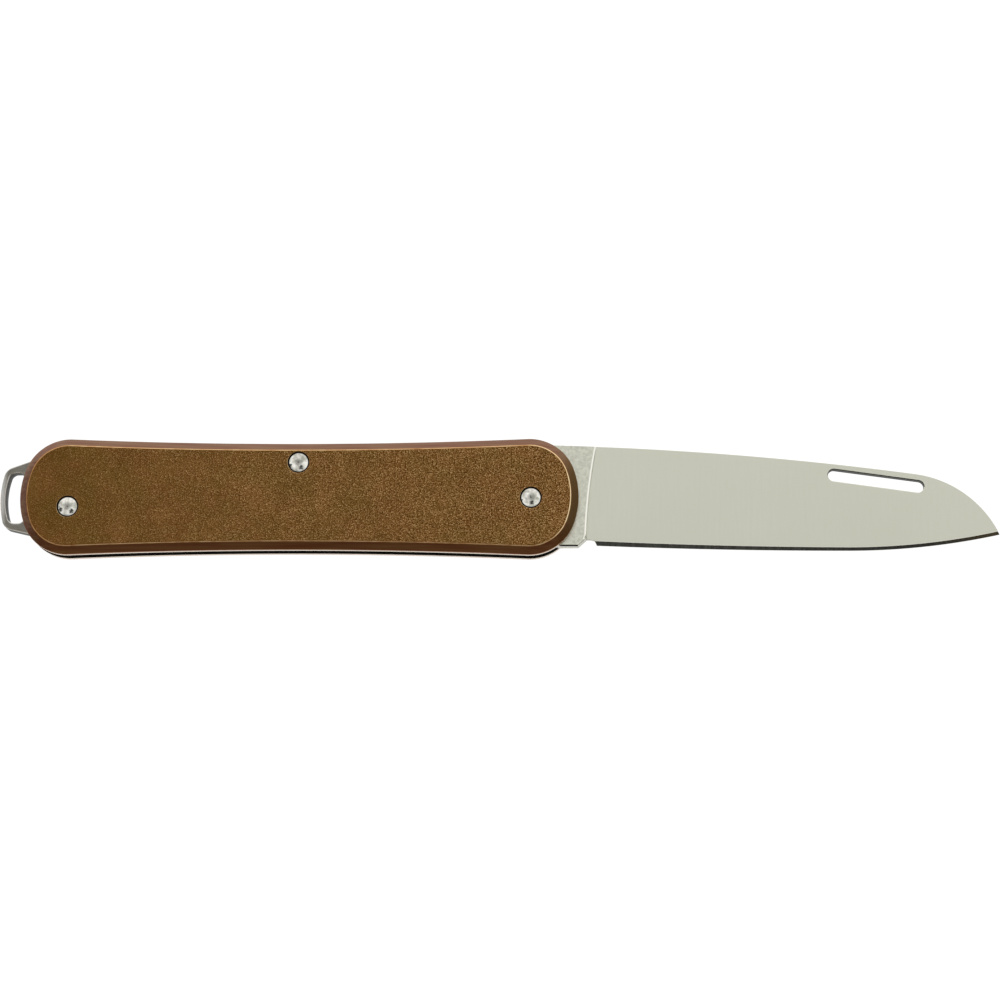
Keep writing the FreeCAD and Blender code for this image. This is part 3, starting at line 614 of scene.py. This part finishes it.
blade_mesh = bmesh.new()
painted_highlight_layer = blade_mesh.verts.layers.float.new("painted_highlight")
rough_layer = blade_mesh.verts.layers.float.new("unground")
HONED, BLANKED, SHADED_WALL = 1, 2, 3
soft = 1 - math.sqrt(0.5)
face_loop, edge_loop = inset(outline, edge_width + FACE_BAND), inset(outline, edge_width)
mid_loop = inset(outline, edge_width * np.where(honed, 0.5, soft))
rim_loops = (face_loop, edge_loop, mid_loop, outline)
face_heights, edge_heights = (blade_half(loop[:, 0], loop[:, 1]) for loop in (face_loop, edge_loop))
mid_heights = np.where(on_honed, (edge_heights + EDGE_HALF) / 2, edge_heights - edge_fall * soft)
rim_heights = np.where(on_honed, EDGE_HALF, np.maximum(edge_heights - edge_fall, EDGE_HALF))
sides = []
for sign in (1, -1):
    rim_rings = [ring(blade_mesh, loop, sign * height) for loop, height in zip(
        rim_loops, (face_heights, edge_heights, mid_heights, rim_heights))]
    # Painted highlights on the line above the honed edge and on the kick's slope
    for vert, at_edge, run, crossed in zip(rim_rings[1], on_honed, runs, crossings):
        vert[painted_highlight_layer] = SLOPE_SHINE if run == SLOPE_RUN else HONED_SHINE if at_edge else 0.0
        if crossed is not None:
            vert[painted_highlight_layer] = PLUNGE_LINES[crossed][1]
    for vert_ring, loop in zip(rim_rings, rim_loops):
        for vert, (x, y) in zip(vert_ring, loop):
            vert[rough_layer] = 1.0 if x < plunge_x(y) else 0.0
    holes = []
    for loop in (slot, circle((0, 0), BORE_RADIUS)):
        broken = inset(loop, SLOT_BREAK)
        heights = blade_half(broken[:, 0], broken[:, 1])
        rows = [(broken, heights), (inset(loop, SLOT_BREAK * soft), heights - SLOT_BREAK * soft),
                (loop, heights - SLOT_BREAK)]
        holes.append([ring(blade_mesh, points, sign * height) for points, height in rows])
    creases = []
    for number, (offset, shine) in enumerate(PLUNGE_LINES):
        ends = [index for index, crossed in enumerate(crossings) if crossed == number]
        low, top = sorted(ends, key=lambda index: outline[index, 1])
        ys = np.linspace(face_loop[top, 1], face_loop[low, 1], PLUNGE_POINTS)[1:-1]
        xs = plunge_x(ys) + offset
        line = ring(blade_mesh, np.column_stack((xs, ys)), sign * blade_half(xs, ys))
        creases.append([rim_rings[0][top], *line, rim_rings[0][low]])
        # The plunge lines carry painted highlights
        for vert in creases[-1]:
            vert[painted_highlight_layer] = shine
            vert[rough_layer] = 0.0 if number else 1.0
    fill(blade_mesh, [rim_rings[0], *(rings[0] for rings in holes)], sign > 0, creases)
    sides.append([rim_rings, *holes])
for front_rings, rear_rings, finish in zip(*sides, (BLANKED, SHADED_WALL, BLANKED)):
    bands = [*front_rings, *rear_rings[::-1]]
    for index, (upper, lower) in enumerate(zip(bands, bands[1:])):
        wall = index == len(front_rings) - 1
        skin(blade_mesh, upper, lower, finish if wall else 0)
        on_face = index in (0, len(bands) - 2)
        blade_mesh.faces.ensure_lookup_table()
        band = blade_mesh.faces[-len(upper):]
        if len(upper) == len(outline) and not wall and not on_face:
            for face, run in zip(band, runs):
                # The band under the kick is painted dark, as painted shade
                face.material_index = {EDGE_RUN: HONED, BELLY_RUN: HONED, KICK_RUN: SHADED_WALL}.get(run, 0)
        elif finish == SHADED_WALL:
            # The upper corner of the slot is painted dark with its wall, as painted shade
            for face in band:
                face.normal_update()
                if face.normal.y < 0:
                    face.material_index = SHADED_WALL
blade_mesh.transform(Matrix.Translation((*PIVOT, MIDDLE_Z)))

# Stainless steel, satin: an even pale grey, slightly warm. The belt leaves fine lines from spine to edge, a
# tenth of a millimetre apart and drawn at a third. The rim of the plunge, the line above the honed edge and
# the kick's slope carry painted highlights, and the tang, which is left unground, is finely speckled.
satin, tree, spot = new_metal("stainless_steel_satin_ground")
painted_highlight, unground = (
    add(tree, "Attribute", attribute_name=name).outputs["Fac"] for name in ("painted_highlight", "unground"))
drawn_out = add(tree, "Mapping", {"Vector": spot, "Scale": (1.0, 0.05, 1.0)})
lines = add(tree, "TexNoise", {"Vector": drawn_out, "Scale": per_metre(0.35), "Detail": 3.0})
cloud = add(tree, "TexNoise", {"Vector": spot, "Scale": per_metre(12), "Detail": 2.0})
tone = add(tree, "Math", {0: lines, 1: cloud}, operation="MULTIPLY")
speckle = add(tree, "TexNoise", {"Vector": spot, "Scale": per_metre(0.4), "Detail": 2.0})
speckle_share = add(tree, "MapRange", {
    "Value": speckle, "From Min": 0.35, "From Max": 0.7, "To Max": unground})
metal(tree, "#D7D8C7", [(tone, "#E1E1D4"), (speckle_share, "#C4C4B5"), (painted_highlight, "#FFFEF4")],
      (lines, 0.32, 0.4), relief=(lines, 0.04, 0.01))

# The same steel, honed: coarse scratches straight across the bevel, a third of a millimetre apart, on a base
# painted dark as painted shade. The bevel is steep enough to look dark anyway.
honed_steel_painted_dark = lined_metal("stainless_steel_honed_painted_dark", (1.0, 0.1, 0.1), 0.3, "#3C3C38", "#9C9C94", (0.26,),
                          relief=(0.3, 0.01))

# The same steel on its outer walls: ground after blanking, pale, with lines through the thickness about a
# quarter of a millimetre apart.
blanked = lined_metal("stainless_steel_ground_wall", (1.0, 1.0, 0.1), 0.25, "#B2B1A8", "#D6D5CB", (0.4,),
                      relief=(0.2, 0.02))

# The same steel on walls that lie in shade, painted near black as painted shade: the punched slot's wall and
# upper corner, the band under the kick and the spring's walls, with drag lines through the thickness.
dark_wall_painted_shade = lined_metal("stainless_steel_dark_wall_painted_shade", (1.0, 1.0, 0.1), 0.25, "#1E1E1B", "#454540", (0.4, 0.6))

blade = piece(blade_mesh, "blade_dressed", [satin, honed_steel_painted_dark, blanked, dark_wall_painted_shade], sharp=8)
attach(blade, "blade")
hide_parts("blade")


# Backspring: one bar of spring steel along the back of the handle. The butt rivet pins its butt end, which
# runs out of the handle as the lanyard loop. The middle rivet is its fulcrum, and its free end presses the
# tang. It is blanked, hardened and tumbled, so its edges are round.

WELL = 2.3
BACK_INSET, TANG_GAP, SHOULDER_GAP, SPRING_FLAT = 0.1, 0.04, 0.1, 8.0
BOSS_REACH, BOSS_DROP, FLEX_GAP, BAR_HEIGHT, BAR_LENGTH = 3.0, 2.38, 0.1, 4.3, 18.0
PLATE_LENGTH, PLATE_DROP, PLATE_TOE, PLATE_HOLLOW = 15.8, 1.6, 3.0, 0.9
LOOP_REACH, LOOP_BOW, LOOP_CORNER = 3.3, 0.75, 1.8
LOOP_ROOT_TOP, LOOP_ROOT_LOW, LOOP_END_TOP, LOOP_END_LOW = 6.12, 5.82, 4.52, 4.8
LOOP_BAR, LOOP_HOLE_LENGTH, LOOP_HOLE_HEIGHT, LOOP_HOLE_CORNER = 0.85, 3.1, 8.06, 1.1
LOOP_BREAK, SPRING_BREAK, SPRING_PLAY = 0.2, 0.08, 0.03
SPRING_SPACING, LOOP_STEPS = 0.8, 10
TURN_RADIUS = CORNER_RADIUS - BACK_INSET


def back_y(x):
    return back_centre.y - BACK_INSET - math.sqrt(back_radius ** 2 - x ** 2)


def softened(loop, corner_radii):
    """A closed outline with the corners at some of its points rounded, each by its own radius."""
    loop = [Vector(point) for point in loop]
    cut = {
        index: turned(loop[index - 1], loop[index], loop[(index + 1) % len(loop)], radius, LOOP_STEPS)
        for index, radius in corner_radii.items()}
    made = []
    for index, point in enumerate(loop):
        if index in cut:
            made += cut[index][1]
        elif all((point - loop[corner]).length > reach for corner, (reach, _) in cut.items()):
            made.append(point)
    return np.array(made)


def corner_rise(x):
    return math.sqrt(TURN_RADIUS ** 2 - x ** 2)


spring_end = PIVOT[0] - HANDLE_X + SHOULDER_REACH - SHOULDER_GAP
spring_under = PIVOT[1] + TANG_FLAT + TANG_GAP
boss_low = MIDDLE_RIVET[1] - BOSS_DROP
bar_x = -BOSS_REACH - FLEX_GAP - BAR_LENGTH
loop_root_x = -corner_centre.x - corner_rise(LOOP_ROOT_TOP - corner_centre.y)
loop_end_x = LOOP_BOW - half_length - LOOP_REACH
arm_end = Vector((spring_end, corner_centre.y + corner_rise(spring_end - corner_centre.x)))
under = [
    ((loop_root_x, LOOP_ROOT_TOP), 0),
    ((loop_end_x, LOOP_END_TOP), LOOP_BOW),
    ((loop_end_x, -LOOP_END_LOW), 0),
    ((loop_root_x, -LOOP_ROOT_LOW), 0),
    ((loop_root_x + PLATE_TOE, -LOOP_ROOT_LOW), 0),
    ((PLATE_LENGTH - half_length, -PLATE_DROP), -PLATE_HOLLOW),
    ((bar_x, back_y(bar_x) - BAR_HEIGHT), 0),
    ((-BOSS_REACH, boss_low), 0),
    ((BOSS_REACH, boss_low), 0),
    ((spring_end - SPRING_FLAT, spring_under), 0),
    ((spring_end, spring_under), 0),
    (arm_end, 0),
]
points, runs = traced(under, SPRING_SPACING)
under_count = runs.index(len(under) - 1)
arm_turn = direction(corner_centre, arm_end)
arm_corner = arc(corner_centre, TURN_RADIUS, arm_turn, back_turn, SPRING_SPACING / 2)
back_x = corner_centre.x * (1 - TURN_RADIUS / from_back)
back_points = [(x, back_y(x)) for x in np.arange(back_x, -back_x, -SPRING_SPACING)]
butt_turn = math.pi - math.asin((LOOP_ROOT_TOP - corner_centre.y) / TURN_RADIUS)
butt_centre = corner_centre * Vector((-1, 1))
butt_corner = arc(butt_centre, TURN_RADIUS, math.pi - back_turn, butt_turn, SPRING_SPACING / 2)
spring_outline = softened(np.vstack((points[:under_count], arm_corner, back_points, butt_corner)), {
    runs.index(1): LOOP_CORNER, runs.index(2): LOOP_CORNER})
hole_near, hole_far = loop_end_x + LOOP_BAR, LOOP_BAR - half_length - LOOP_REACH + LOOP_HOLE_LENGTH
hole_half = LOOP_HOLE_HEIGHT / 2
points, runs = traced([
    ((hole_near, -hole_half), -LOOP_BOW),
    ((hole_near, hole_half), 0),
    ((hole_far, hole_half), 0),
    ((hole_far, -hole_half), 0),
], SPRING_SPACING / 2)
loop_hole = softened(points, {runs.index(side): LOOP_HOLE_CORNER for side in range(4)})
spring_breaks = np.where(spring_outline[:, 0] < loop_root_x + PLATE_TOE / 2, LOOP_BREAK, SPRING_BREAK)

# Spring steel, tumbled: mid grey, soft edged, with small nicks from the stones, half a millimetre across. The
# rounded edges are painted brighter than the faces, partly wear and partly a painted highlight. The outer end
# of the loop is brighter still, a painted highlight.
LOOP_HIGHLIGHT_END, LOOP_HIGHLIGHT_START = -77.0, -76.2
tumbled, tree, spot = new_metal("spring_steel_tumbled")
edge_wear_and_highlight = add(tree, "Attribute", attribute_name="edge_wear_and_highlight").outputs["Fac"]
nicks = add(tree, "TexNoise", {"Vector": spot, "Scale": per_metre(0.6), "Detail": 4.0, "Roughness": 0.6})
patches = add(tree, "TexNoise", {"Vector": spot, "Scale": per_metre(4), "Detail": 2.0})
place = add(tree, "SeparateXYZ", {"Vector": spot})
loop_end_highlight = add(tree, "MapRange", {
    "Value": place.outputs["X"], "From Min": LOOP_HIGHLIGHT_END * MM, "From Max": LOOP_HIGHLIGHT_START * MM,
    "To Min": 0.53, "To Max": 0.0})
# Painted highlights: the rounded edges, partly wear, and the loop's outer end
shine = add(tree, "Math", {0: edge_wear_and_highlight, 1: loop_end_highlight}, operation="MAXIMUM")
metal(tree, "#625F57", [(nicks, "#8C8980"), (shine, "#EEECE6")],
      (patches, 0.24, 0.4), relief=(nicks, 0.25, 0.02))

# The spring's walls take the same dark painted shade as the blade's slot
spring = slab("backspring_dressed", [
    (spring_outline + (HANDLE_X, 0), spring_breaks),
    (loop_hole + (HANDLE_X, 0), LOOP_BREAK),
    (circle(BUTT_RIVET, RIVET_HOLE_RADIUS), SPRING_BREAK),
    (circle(MIDDLE_RIVET, RIVET_HOLE_RADIUS), SPRING_BREAK),
], MIDDLE_Z - WELL / 2 + SPRING_PLAY, MIDDLE_Z + WELL / 2 - SPRING_PLAY, tumbled, dark_wall_painted_shade)
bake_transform(spring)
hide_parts("backspring_root", "backspring_arm")


# Pivot bush and washers: a turned bronze sleeve on the pivot rivet, and two thin stamped rings beside the
# tang. The blade turns on the sleeve and slides between the rings. Only the rings' rims show, in the slot.

# Bronze, rolled and stamped: warm yellow brown, dulled by oil in cloudy patches of about a millimetre.
washer_bronze = lined_metal("phosphor_bronze_stamped", (1.0, 1.0, 1.0), 1.2, "#8A5F33", "#B98B52",
                            (0.25, 0.5))
for node in ("pivot_bushing", "front_pivot_washer", "rear_pivot_washer"):
    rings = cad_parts[node]
    rings.data.materials.clear()
    rings.data.materials.append(washer_bronze)


# Rivets: three pairs of turned steel halves, a barrel from the front and a pin pressed into it from the rear.
# Their low domes are polished after turning and sit in the counterbores with a gap round them, darkened by
# painted shade.

HEAD_DIAMETER, HEAD_HEIGHT, HEAD_RIM = 3.0, 0.55, 0.35
BARREL_DIAMETER, PIN_DIAMETER, RIVET_END_GAP = 2.1, 1.28, 0.15
PIP_DIAMETER, PIP_DEPTH = 1.0, 0.06
HEAD_SIDES, DOME_STEPS, RIM_BREAK, BREAK_STEPS = 48, 22, 0.08, 2
LATHE_SPACING = 0.1
SHARP_TURN = math.radians(40)

# Stainless steel, turned and polished: bright, with faint rings from the lathe, a tenth of a millimetre
# apart, and clouded by handling in patches of about a millimetre. The middle of the dome, over the tool's
# shallow pip, is painted grey and darker at its centre as a painted dark reflection. The wall below the dome
# and the dome's outer edge are painted dark as shade in the counterbore.
polished, tree, spot = new_metal("stainless_steel_polished")
to_middle = add(tree, "Attribute", attribute_name="to_middle").outputs["Fac"]
marks = add(tree, "TexNoise", {"Vector": spot, "Scale": per_metre(0.9), "Detail": 4.0})
wave = add(tree, "Math", {0: to_middle, 1: math.pi * HEAD_DIAMETER / LATHE_SPACING}, operation="MULTIPLY")
lathe = add(tree, "Math", {0: wave}, operation="SINE")
lathe_share = add(tree, "MapRange", {"Value": lathe, "From Min": -1.0, "To Max": 0.4})
cloudy = add(tree, "MapRange", {"Value": marks, "From Min": 0.36, "From Max": 0.6})
# Painted dark reflection in the dome's middle, and painted shade on the wall and the dome's outer edge
middle_reflection_share = add(tree, "MapRange", {"Value": to_middle, "From Min": 0.5, "From Max": 0.8, "To Max": 0.72})
centre_reflection_share = add(tree, "MapRange", {"Value": to_middle, "From Min": 0.87, "From Max": 0.94})
wall_share = add(tree, "MapRange", {"Value": to_middle, "From Max": 0.07, "To Min": 1.0, "To Max": 0.0})
metal(tree, "#A9A89B", [
    (cloudy, "#FFFDF4"), (lathe_share, "#AFACA5"), (middle_reflection_share, "#7C7A74"), (centre_reflection_share, "#6A6960"),
    (wall_share, "#24221F"),
], (marks, 0.04, 0.1), relief=(marks, 0.12, 0.02))

# The tree turns one rivet half, dome up, and sets it on each point of the mesh that it is given
rivet_tree = bpy.data.node_groups.new("rivet_halves", "GeometryNodeTree")
rivet_sizes = {
    "Head Diameter": HEAD_DIAMETER, "Head Height": HEAD_HEIGHT, "Head Rim": HEAD_RIM,
    "Pip Diameter": PIP_DIAMETER, "Pip Depth": PIP_DEPTH,
    "Shank Length": STACK - 2 * COUNTERBORE_DEPTH - RIVET_END_GAP, "Shank Diameter": BARREL_DIAMETER}
kinds = {"Places": "NodeSocketGeometry", "Finish": "NodeSocketMaterial"}
kinds.update(dict.fromkeys(rivet_sizes, "NodeSocketFloat"))
sockets = {}
for name, kind in kinds.items():
    sockets[name] = rivet_tree.interface.new_socket(name=name, in_out="INPUT", socket_type=kind).identifier
rivet_tree.interface.new_socket(name="Rivets", in_out="OUTPUT", socket_type="NodeSocketGeometry")
terms = {output.name: output for output in add(rivet_tree, "NodeGroupInput").outputs}
position = add(rivet_tree, "GeometryNodeInputPosition")
flat = add(rivet_tree, "SeparateXYZ", {"Vector": position})
terms.update(flat_x=flat.outputs["X"], flat_y=flat.outputs["Y"])
for name, operation, *values in (
        ("head_radius", "DIVIDE", "Head Diameter", 2.0),
        ("rise", "SUBTRACT", "Head Height", "Head Rim"),
        ("radius_squared", "MULTIPLY", "head_radius", "head_radius"),
        ("both_squared", "MULTIPLY_ADD", "rise", "rise", "radius_squared"),
        ("rise_twice", "MULTIPLY", "rise", 2.0),
        ("dome_radius", "DIVIDE", "both_squared", "rise_twice"),
        ("dome_sine", "DIVIDE", "head_radius", "dome_radius"),
        ("dome_angle", "ARCSINE", "dome_sine"),
        ("dome_centre", "SUBTRACT", "Head Height", "dome_radius"),
        ("around", "MULTIPLY", "flat_x", 2 * math.pi),
        ("around_sine", "SINE", "around"),
        ("around_cosine", "COSINE", "around"),
        ("from_top", "ADD", "flat_y", 0.5),
        ("to_middle", "SUBTRACT", 1.0, "from_top"),
        ("lean", "MULTIPLY", "from_top", "dome_angle"),
        ("lean_sine", "SINE", "lean"),
        ("lean_cosine", "COSINE", "lean"),
        ("reach", "MULTIPLY", "lean_sine", "dome_radius"),
        ("dome_x", "MULTIPLY", "around_cosine", "reach"),
        ("dome_y", "MULTIPLY", "around_sine", "reach"),
        ("sphere_z", "MULTIPLY_ADD", "lean_cosine", "dome_radius", "dome_centre"),
        ("pip_radius", "DIVIDE", "Pip Diameter", 2.0),
        ("rim_middle", "DIVIDE", "Head Rim", 2.0),
        ("shank_middle", "DIVIDE", "Shank Length", -2.0),
        ("shank_radius", "DIVIDE", "Shank Diameter", 2.0)):
    sources = dict(enumerate(terms.get(value, value) for value in values))
    terms[name] = add(rivet_tree, "Math", sources, operation=operation)
in_pip = add(rivet_tree, "MapRange", {
    "Value": terms["reach"], "From Max": terms["pip_radius"], "To Min": terms["Pip Depth"], "To Max": 0.0})
dome_z = add(rivet_tree, "Math", {0: terms["sphere_z"], 1: in_pip}, operation="SUBTRACT")
dome_place = add(rivet_tree, "CombineXYZ", {"X": terms["dome_x"], "Y": terms["dome_y"], "Z": dome_z})
sheet = add(rivet_tree, "GeometryNodeMeshGrid", {
    "Size X": 1.0, "Size Y": 1.0, "Vertices X": HEAD_SIDES + 1, "Vertices Y": DOME_STEPS + 1})
marked = add(rivet_tree, "GeometryNodeStoreNamedAttribute", {
    "Geometry": sheet, "Name": "to_middle", "Value": terms["to_middle"]})
dome = add(rivet_tree, "GeometryNodeSetPosition", {"Geometry": marked, "Position": dome_place})
joined = add(rivet_tree, "GeometryNodeJoinGeometry", {"Geometry": dome})
for radius, depth, middle in (("head_radius", "Head Rim", "rim_middle"),
                              ("shank_radius", "Shank Length", "shank_middle")):
    wall = add(rivet_tree, "GeometryNodeMeshCylinder", {
        "Vertices": HEAD_SIDES, "Radius": terms[radius], "Depth": terms[depth]})
    lifted = add(rivet_tree, "CombineXYZ", {"Z": terms[middle]})
    moved = add(rivet_tree, "GeometryNodeTransform", {"Geometry": wall, "Translation": lifted})
    rivet_tree.links.new(moved.outputs["Geometry"], joined.inputs["Geometry"])
closed = add(rivet_tree, "GeometryNodeMergeByDistance", {"Geometry": joined, "Distance": 0.001 * MM})
set_out = add(rivet_tree, "GeometryNodeInstanceOnPoints", {"Points": terms["Places"], "Instance": closed})
plain = add(rivet_tree, "GeometryNodeRealizeInstances", {"Geometry": set_out})
dressed = add(rivet_tree, "GeometryNodeSetMaterial", {"Geometry": plain, "Material": terms["Finish"]})
add(rivet_tree, "NodeGroupOutput", {"Rivets": dressed})

seat_z = STACK - COUNTERBORE_DEPTH
for half, shank_diameter in (("barrel", BARREL_DIAMETER), ("pin", PIN_DIAMETER)):
    name = f"rivet_{half}s"
    places = bpy.data.meshes.new(f"{name}_places")
    places.from_pydata([(x * MM, y * MM, seat_z * MM) for x, y in RIVETS], [], [])
    maker = placed(f"{name}_maker", places)
    turning = maker.modifiers.new("rivets", "NODES")
    turning.node_group = rivet_tree
    for socket, size in {**rivet_sizes, "Shank Diameter": shank_diameter}.items():
        turning[sockets[socket]] = size * MM
    turning[sockets["Finish"]] = polished
    bpy.context.view_layer.update()
    mesh = bpy.data.meshes.new_from_object(maker.evaluated_get(bpy.context.evaluated_depsgraph_get()))
    bpy.data.objects.remove(maker)
    if half == "pin":
        mesh.transform(to_rear)
    cleaned = bmesh.new()
    cleaned.from_mesh(mesh)
    bmesh.ops.recalc_face_normals(cleaned, faces=cleaned.faces)
    cleaned.to_mesh(mesh)
    cleaned.free()
    mesh.shade_smooth()
    mesh.set_sharp_from_angle(angle=SHARP_TURN)
    mesh.name = name
    rivets = placed(name, mesh)
    rounding = rivets.modifiers.new("turned_edge", "BEVEL")
    rounding.width = RIM_BREAK * MM
    rounding.segments = BREAK_STEPS
    rounding.limit_method = "ANGLE"
    rounding.angle_limit = SHARP_TURN
    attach(rivets, "handle")
    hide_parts(*(f"{place}_rivet_{half}" for place in ("pivot", "middle", "butt")))


# Studio: a floor of plain white paper under a light tent, bright overhead and behind the knife and dimmer at
# both sides. It is open towards the camera, to a dim warm room, and two ragged gaps in its roof show as dark
# spots in the polished domes. A weak softbox stands behind the knife.

FLOOR_SIZE, FLOOR_GAP, FLOOR_GLOW = 4.0, 0.02 * MM, 0.88
ROOF_GAPS = ((0.02, -0.05, 1.0), (-0.54, 0.09, 0.84))
GAP_SPREAD, GAP_RAGGED = math.radians(8.5), 0.024
WHITE, WARM_ROOM = (1, 1, 1, 1), (1, 0.74, 0.4, 1)
SOFTLY = {"interpolation_type": "SMOOTHSTEP"}
SOFTBOX_WIDTH, SOFTBOX_HEIGHT, SOFTBOX_WATTS = 0.7, 0.35, 0.2
SOFTBOX_PLACE, SOFTBOX_TILT = (0.35, 0.75, 0.45), math.radians(-63)

paper = bpy.data.materials.new("white_paper")
tree = emptied(paper)
path = add(tree, "LightPath").outputs
seen = add(tree, "Math", {0: path["Is Camera Ray"], 1: path["Is Glossy Ray"]}, operation="MAXIMUM")
seen = add(tree, "Math", {0: seen, 1: path["Is Transmission Ray"]}, operation="MAXIMUM")
share = add(tree, "Math", {0: seen, 1: FLOOR_GLOW}, operation="MULTIPLY")
lit = add(tree, "BsdfDiffuse", {"Color": linear("#F4F4F2")})
glow = add(tree, "Emission", {"Color": WHITE, "Strength": 1.12})
mixed = add(tree, "MixShader", {0: share, 1: lit, 2: glow})
add(tree, "OutputMaterial", {"Surface": mixed})
floor_mesh = bpy.data.meshes.new("floor")
reach = FLOOR_SIZE / 2
floor_corners = [(x * reach, y * reach, -FLOOR_GAP) for x, y in ((-1, -1), (1, -1), (1, 1), (-1, 1))]
floor_mesh.from_pydata(floor_corners, [], [(0, 1, 2, 3)])
floor_mesh.materials.append(paper)
floor = placed("floor", floor_mesh)

sky = bpy.data.worlds.new("light_tent")
tree = emptied(sky)
ray = add(tree, "TexCoord").outputs["Generated"]
ray_way = add(tree, "SeparateXYZ", {"Vector": ray}).outputs
low = add(tree, "MapRange", {
    "Value": ray_way["Z"], "From Min": 0.6, "From Max": 0.82, "To Min": 1.0, "To Max": 0.0}, **SOFTLY)
opening = add(tree, "MapRange", {"Value": low, "To Min": 0.1, "To Max": 0.28})
ahead = add(tree, "MapRange", {"Value": ray_way["Y"], "From Min": -0.1, "From Max": -0.42}, **SOFTLY)
front = add(tree, "MapRange", {"Value": ahead, "To Min": 0.955, "To Max": opening})
warm = add(tree, "Math", {0: ahead, 1: low}, operation="MULTIPLY")
tint = add(tree, "Mix", {0: warm, 6: WHITE, 7: WARM_ROOM}, data_type="RGBA")
sideways = add(tree, "Math", {0: ray_way["X"]}, operation="ABSOLUTE")
flank = add(tree, "MapRange", {
    "Value": sideways, "From Min": 0.6, "From Max": 0.88, "To Min": 1.0, "To Max": 0.36}, **SOFTLY)
level = add(tree, "Math", {0: front, 1: flank}, operation="MULTIPLY")
torn = add(tree, "TexNoise", {"Vector": ray, "Scale": 9.0, "Detail": 2.0})
torn_share = add(tree, "MapRange", {"Value": torn, "To Min": -GAP_RAGGED, "To Max": GAP_RAGGED})
for way in ROOF_GAPS:
    toward = add(tree, "VectorMath", {0: ray, 1: Vector(way).normalized()}, operation="DOT_PRODUCT")
    ragged = add(tree, "Math", {0: toward, 1: torn_share}, operation="ADD")
    clear = add(tree, "MapRange", {
        "Value": ragged, "From Min": math.cos(GAP_SPREAD), "From Max": math.cos(GAP_SPREAD / 2),
        "To Min": 1.0, "To Max": 0.08}, **SOFTLY)
    level = add(tree, "Math", {0: level, 1: clear}, operation="MULTIPLY")
tent = add(tree, "Background", {"Color": tint, "Strength": level})
add(tree, "OutputWorld", {"Surface": tent})
scene.world = sky
scene.view_settings.view_transform = "Standard"

lamp_data = bpy.data.lights.new("softbox", "AREA")
lamp_data.shape = "RECTANGLE"
lamp_data.size, lamp_data.size_y = SOFTBOX_WIDTH, SOFTBOX_HEIGHT
lamp_data.energy = SOFTBOX_WATTS
softbox = placed("softbox", lamp_data)
softbox.matrix_world = Matrix.Translation(SOFTBOX_PLACE) @ Matrix.Rotation(SOFTBOX_TILT, 4, "X")


# Camera: above the knife and a little below it in the picture, turned a hair, as the photograph was taken.

VIEW_POINT = (0.547, -0.119, 2.8)
VIEW_DISTANCE, VIEW_LENS = 420.0, 97.6
VIEW_ROLL, VIEW_YAW, VIEW_PITCH = math.radians(0.477), math.radians(2.2), math.radians(12.5)
NEAREST, FARTHEST = 0.01, 10.0

camera_data = bpy.data.cameras.new("camera")
camera_data.lens = VIEW_LENS
camera_data.clip_start, camera_data.clip_end = NEAREST, FARTHEST
camera = placed("camera", camera_data)
camera.matrix_world = (
    Matrix.Translation(Vector(VIEW_POINT) * MM)
    @ Matrix.Rotation(VIEW_ROLL, 4, "Z")
    @ Matrix.Rotation(VIEW_YAW, 4, "Y")
    @ Matrix.Rotation(VIEW_PITCH, 4, "X")
    @ Matrix.Translation((0, 0, VIEW_DISTANCE * MM)))
bpy.context.scene.camera = camera
